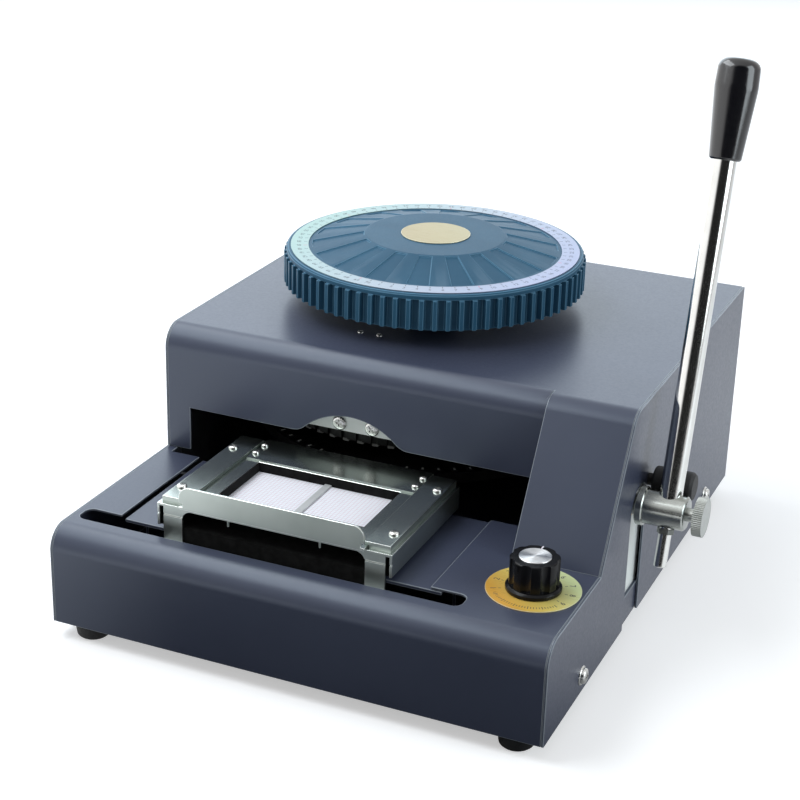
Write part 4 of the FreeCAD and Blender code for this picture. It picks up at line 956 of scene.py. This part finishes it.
black_ink, red_ink = ink("black_ink", (0.03, 0.03, 0.04)), ink("red_ink", (0.45, 0.05, 0.10))
figures, ticks, red_ticks = [], [], []
for step in range(die_count):
    angle = die_angle(step)
    upright = angle + math.pi / 2
    place = around("dial_scale_ring", dial_figure_circle, angle)
    figures.append(figure(str(step + 1), dial_figure_mm, place, upright))
    marks = red_ticks if step % red_step == red_first else ticks
    marks.append(tick(*dial_tick_mm, around("dial_scale_ring", dial_tick_circle, angle), upright))
settle(joined("dial_figures", figures + ticks), "scale_foil", "dial", finish=black_ink)
settle(joined("dial_red_ticks", red_ticks), "scale_foil", "dial", finish=red_ink)

# %% [markdown]
# ## The knob's scale and pointer
# The plate under the knob has nine numbered steps round its far side and a row of fine ticks at the front. A white
# pointer on the knob shows the step. It is a bar whose top is drawn in, half sunk in the knob, as an inlay is.

# %% The knob's scale
knob_steps, knob_first, knob_pitch = 9, 205, 28.75
knob_figure_mm, knob_figure_circle = 4.8, 21.6
knob_tick_width, short_tick, long_tick = 0.4, 1.6, 2.6
knob_tick_circle, fine_circle = 18.3, 22.0
fine_ticks, fine_first, fine_pitch, long_every, long_first = 27, -142, 4, 5, 1
knob_marks = []
for step in range(knob_steps):
    angle = math.radians(knob_first - knob_pitch * step)
    place = around("knob_scale_plate", knob_figure_circle, angle)
    knob_marks.append(figure(str(step + 1), knob_figure_mm, place, angle - math.pi / 2))
    place = around("knob_scale_plate", knob_tick_circle, angle)
    knob_marks.append(tick(knob_tick_width, short_tick, place, angle - math.pi / 2))
for step in range(fine_ticks):
    angle = math.radians(fine_first + fine_pitch * step)
    length = long_tick if step % long_every == long_first else short_tick
    place = around("knob_scale_plate", fine_circle, angle)
    knob_marks.append(tick(knob_tick_width, length, place, angle - math.pi / 2))
settle(joined("knob_figures", knob_marks), "gold_foil", "housing", finish=black_ink)
bpy.data.objects.remove(small_block)

# %% The knob's pointer
pointer_reach = 11.2 * mm
pointer_size = Vector((1.1, 3.4, 0.5)) * mm
pointer_taper = (0.6, 0.9, 1)
knob_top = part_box("spacing_knob")[1].z
knob_middle = middle("spacing_knob")
pointer = new_box("knob_pointer", (knob_middle.x, knob_middle.y + pointer_reach, knob_top), pointer_size)
narrow(pointer, faces_up, pointer_taper)
settle(pointer, "grid_white", "knob")

# %% [markdown]
# ## The pocket's painted shade
# The white insert lies at the bottom of a pocket whose walls lie in deep shade, so they are covered with thin black
# walls, a painted shade. They are a box the size of the insert, without its top and bottom, and Solidify gives the
# walls their thickness.

# %% Pocket shade walls
# A near-black finish for sheets that stand in for deep shade, a painted shade.
painted_shade_black = coloured("painted_shade_black", (0.006, 0.006, 0.006), (0.014, 0.014, 0.014), 4, (0.80, 0.95), 0.3, 0.05, gloss=0.1)
shade_wall_thick, shade_wall_gap = 0.3 * mm, 0.2 * mm
insert_low, insert_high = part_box("grid_insert")
wall_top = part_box("tray_clamp_plate")[0].z - shade_wall_gap
shade_walls_size = Vector((insert_high.x - insert_low.x, insert_high.y - insert_low.y, wall_top - insert_high.z))
shade_walls_centre = Vector((*middle("grid_insert").xy, (insert_high.z + wall_top) / 2))
shade_walls = new_box("pocket_painted_shade", shade_walls_centre, shade_walls_size)
pick_faces(shade_walls, lambda normal: faces_up(normal) or faces_down(normal))
bpy.ops.mesh.delete(type="FACE")
bpy.ops.object.mode_set(mode="OBJECT")
apply_modifier(shade_walls, "SOLIDIFY", thickness=shade_wall_thick, offset=-1.0)
settle(shade_walls, "black_rubber", "tray", finish=painted_shade_black)

# %% [markdown]
# ## The shade sheet under the carriage
# A thin, matt black sheet closes the carriage from below, between its two flanges, where the space lies in deep shade:
# it is a painted shade. It is a thin box whose rim is drawn in, as a pressed edge. A flap hangs in the slot behind the
# front leg. It is joined to the sheet, because both move with the carriage.

# %% Shade sheet
carriage_sheet = 1.5 * mm
shade_sheet_rise, shade_sheet_thick = 1.4 * mm, 0.5 * mm
rim_width, rim_rise = 1.0 * mm, 0.2 * mm
flap_gap, flap_thick, flap_depth = 0.3 * mm, 0.4 * mm, 6.0 * mm
flap_taper = (0.99, 0.6, 1)
base_low, base_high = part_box("carriage_base")
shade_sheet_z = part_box("front_deck_cover")[1].z + shade_sheet_rise
shade_sheet_front, shade_sheet_rear = base_low.y + carriage_sheet, insert_high.y
shade_sheet_centre = Vector(((base_low.x + base_high.x) / 2, (shade_sheet_front + shade_sheet_rear) / 2, shade_sheet_z))
shade_sheet_size = (base_high.x - base_low.x - 2 * carriage_sheet, shade_sheet_rear - shade_sheet_front, shade_sheet_thick)
# A black sheet in place of the deep shade under the carriage, a painted shade.
shade_sheet = new_box("carriage_shade_sheet", shade_sheet_centre, shade_sheet_size)
pick_faces(shade_sheet, faces_up)
bpy.ops.mesh.inset(thickness=rim_width, depth=rim_rise)
bpy.ops.object.mode_set(mode="OBJECT")
flap_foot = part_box("deck_bridge")[1].z - flap_depth
slider_low, slider_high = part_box("front_slider")
flap_centre = Vector((shade_sheet_centre.x, shade_sheet_front + flap_gap, (shade_sheet_z + flap_foot) / 2))
flap_size = (slider_high.x - slider_low.x, flap_thick, shade_sheet_z - flap_foot)
flap = new_box("shade_sheet_flap", flap_centre, flap_size)
narrow(flap, faces_down, flap_taper)
settle(joined("carriage_shade_sheet", [shade_sheet, flap]), "black_rubber", "carriage", finish=painted_shade_black)
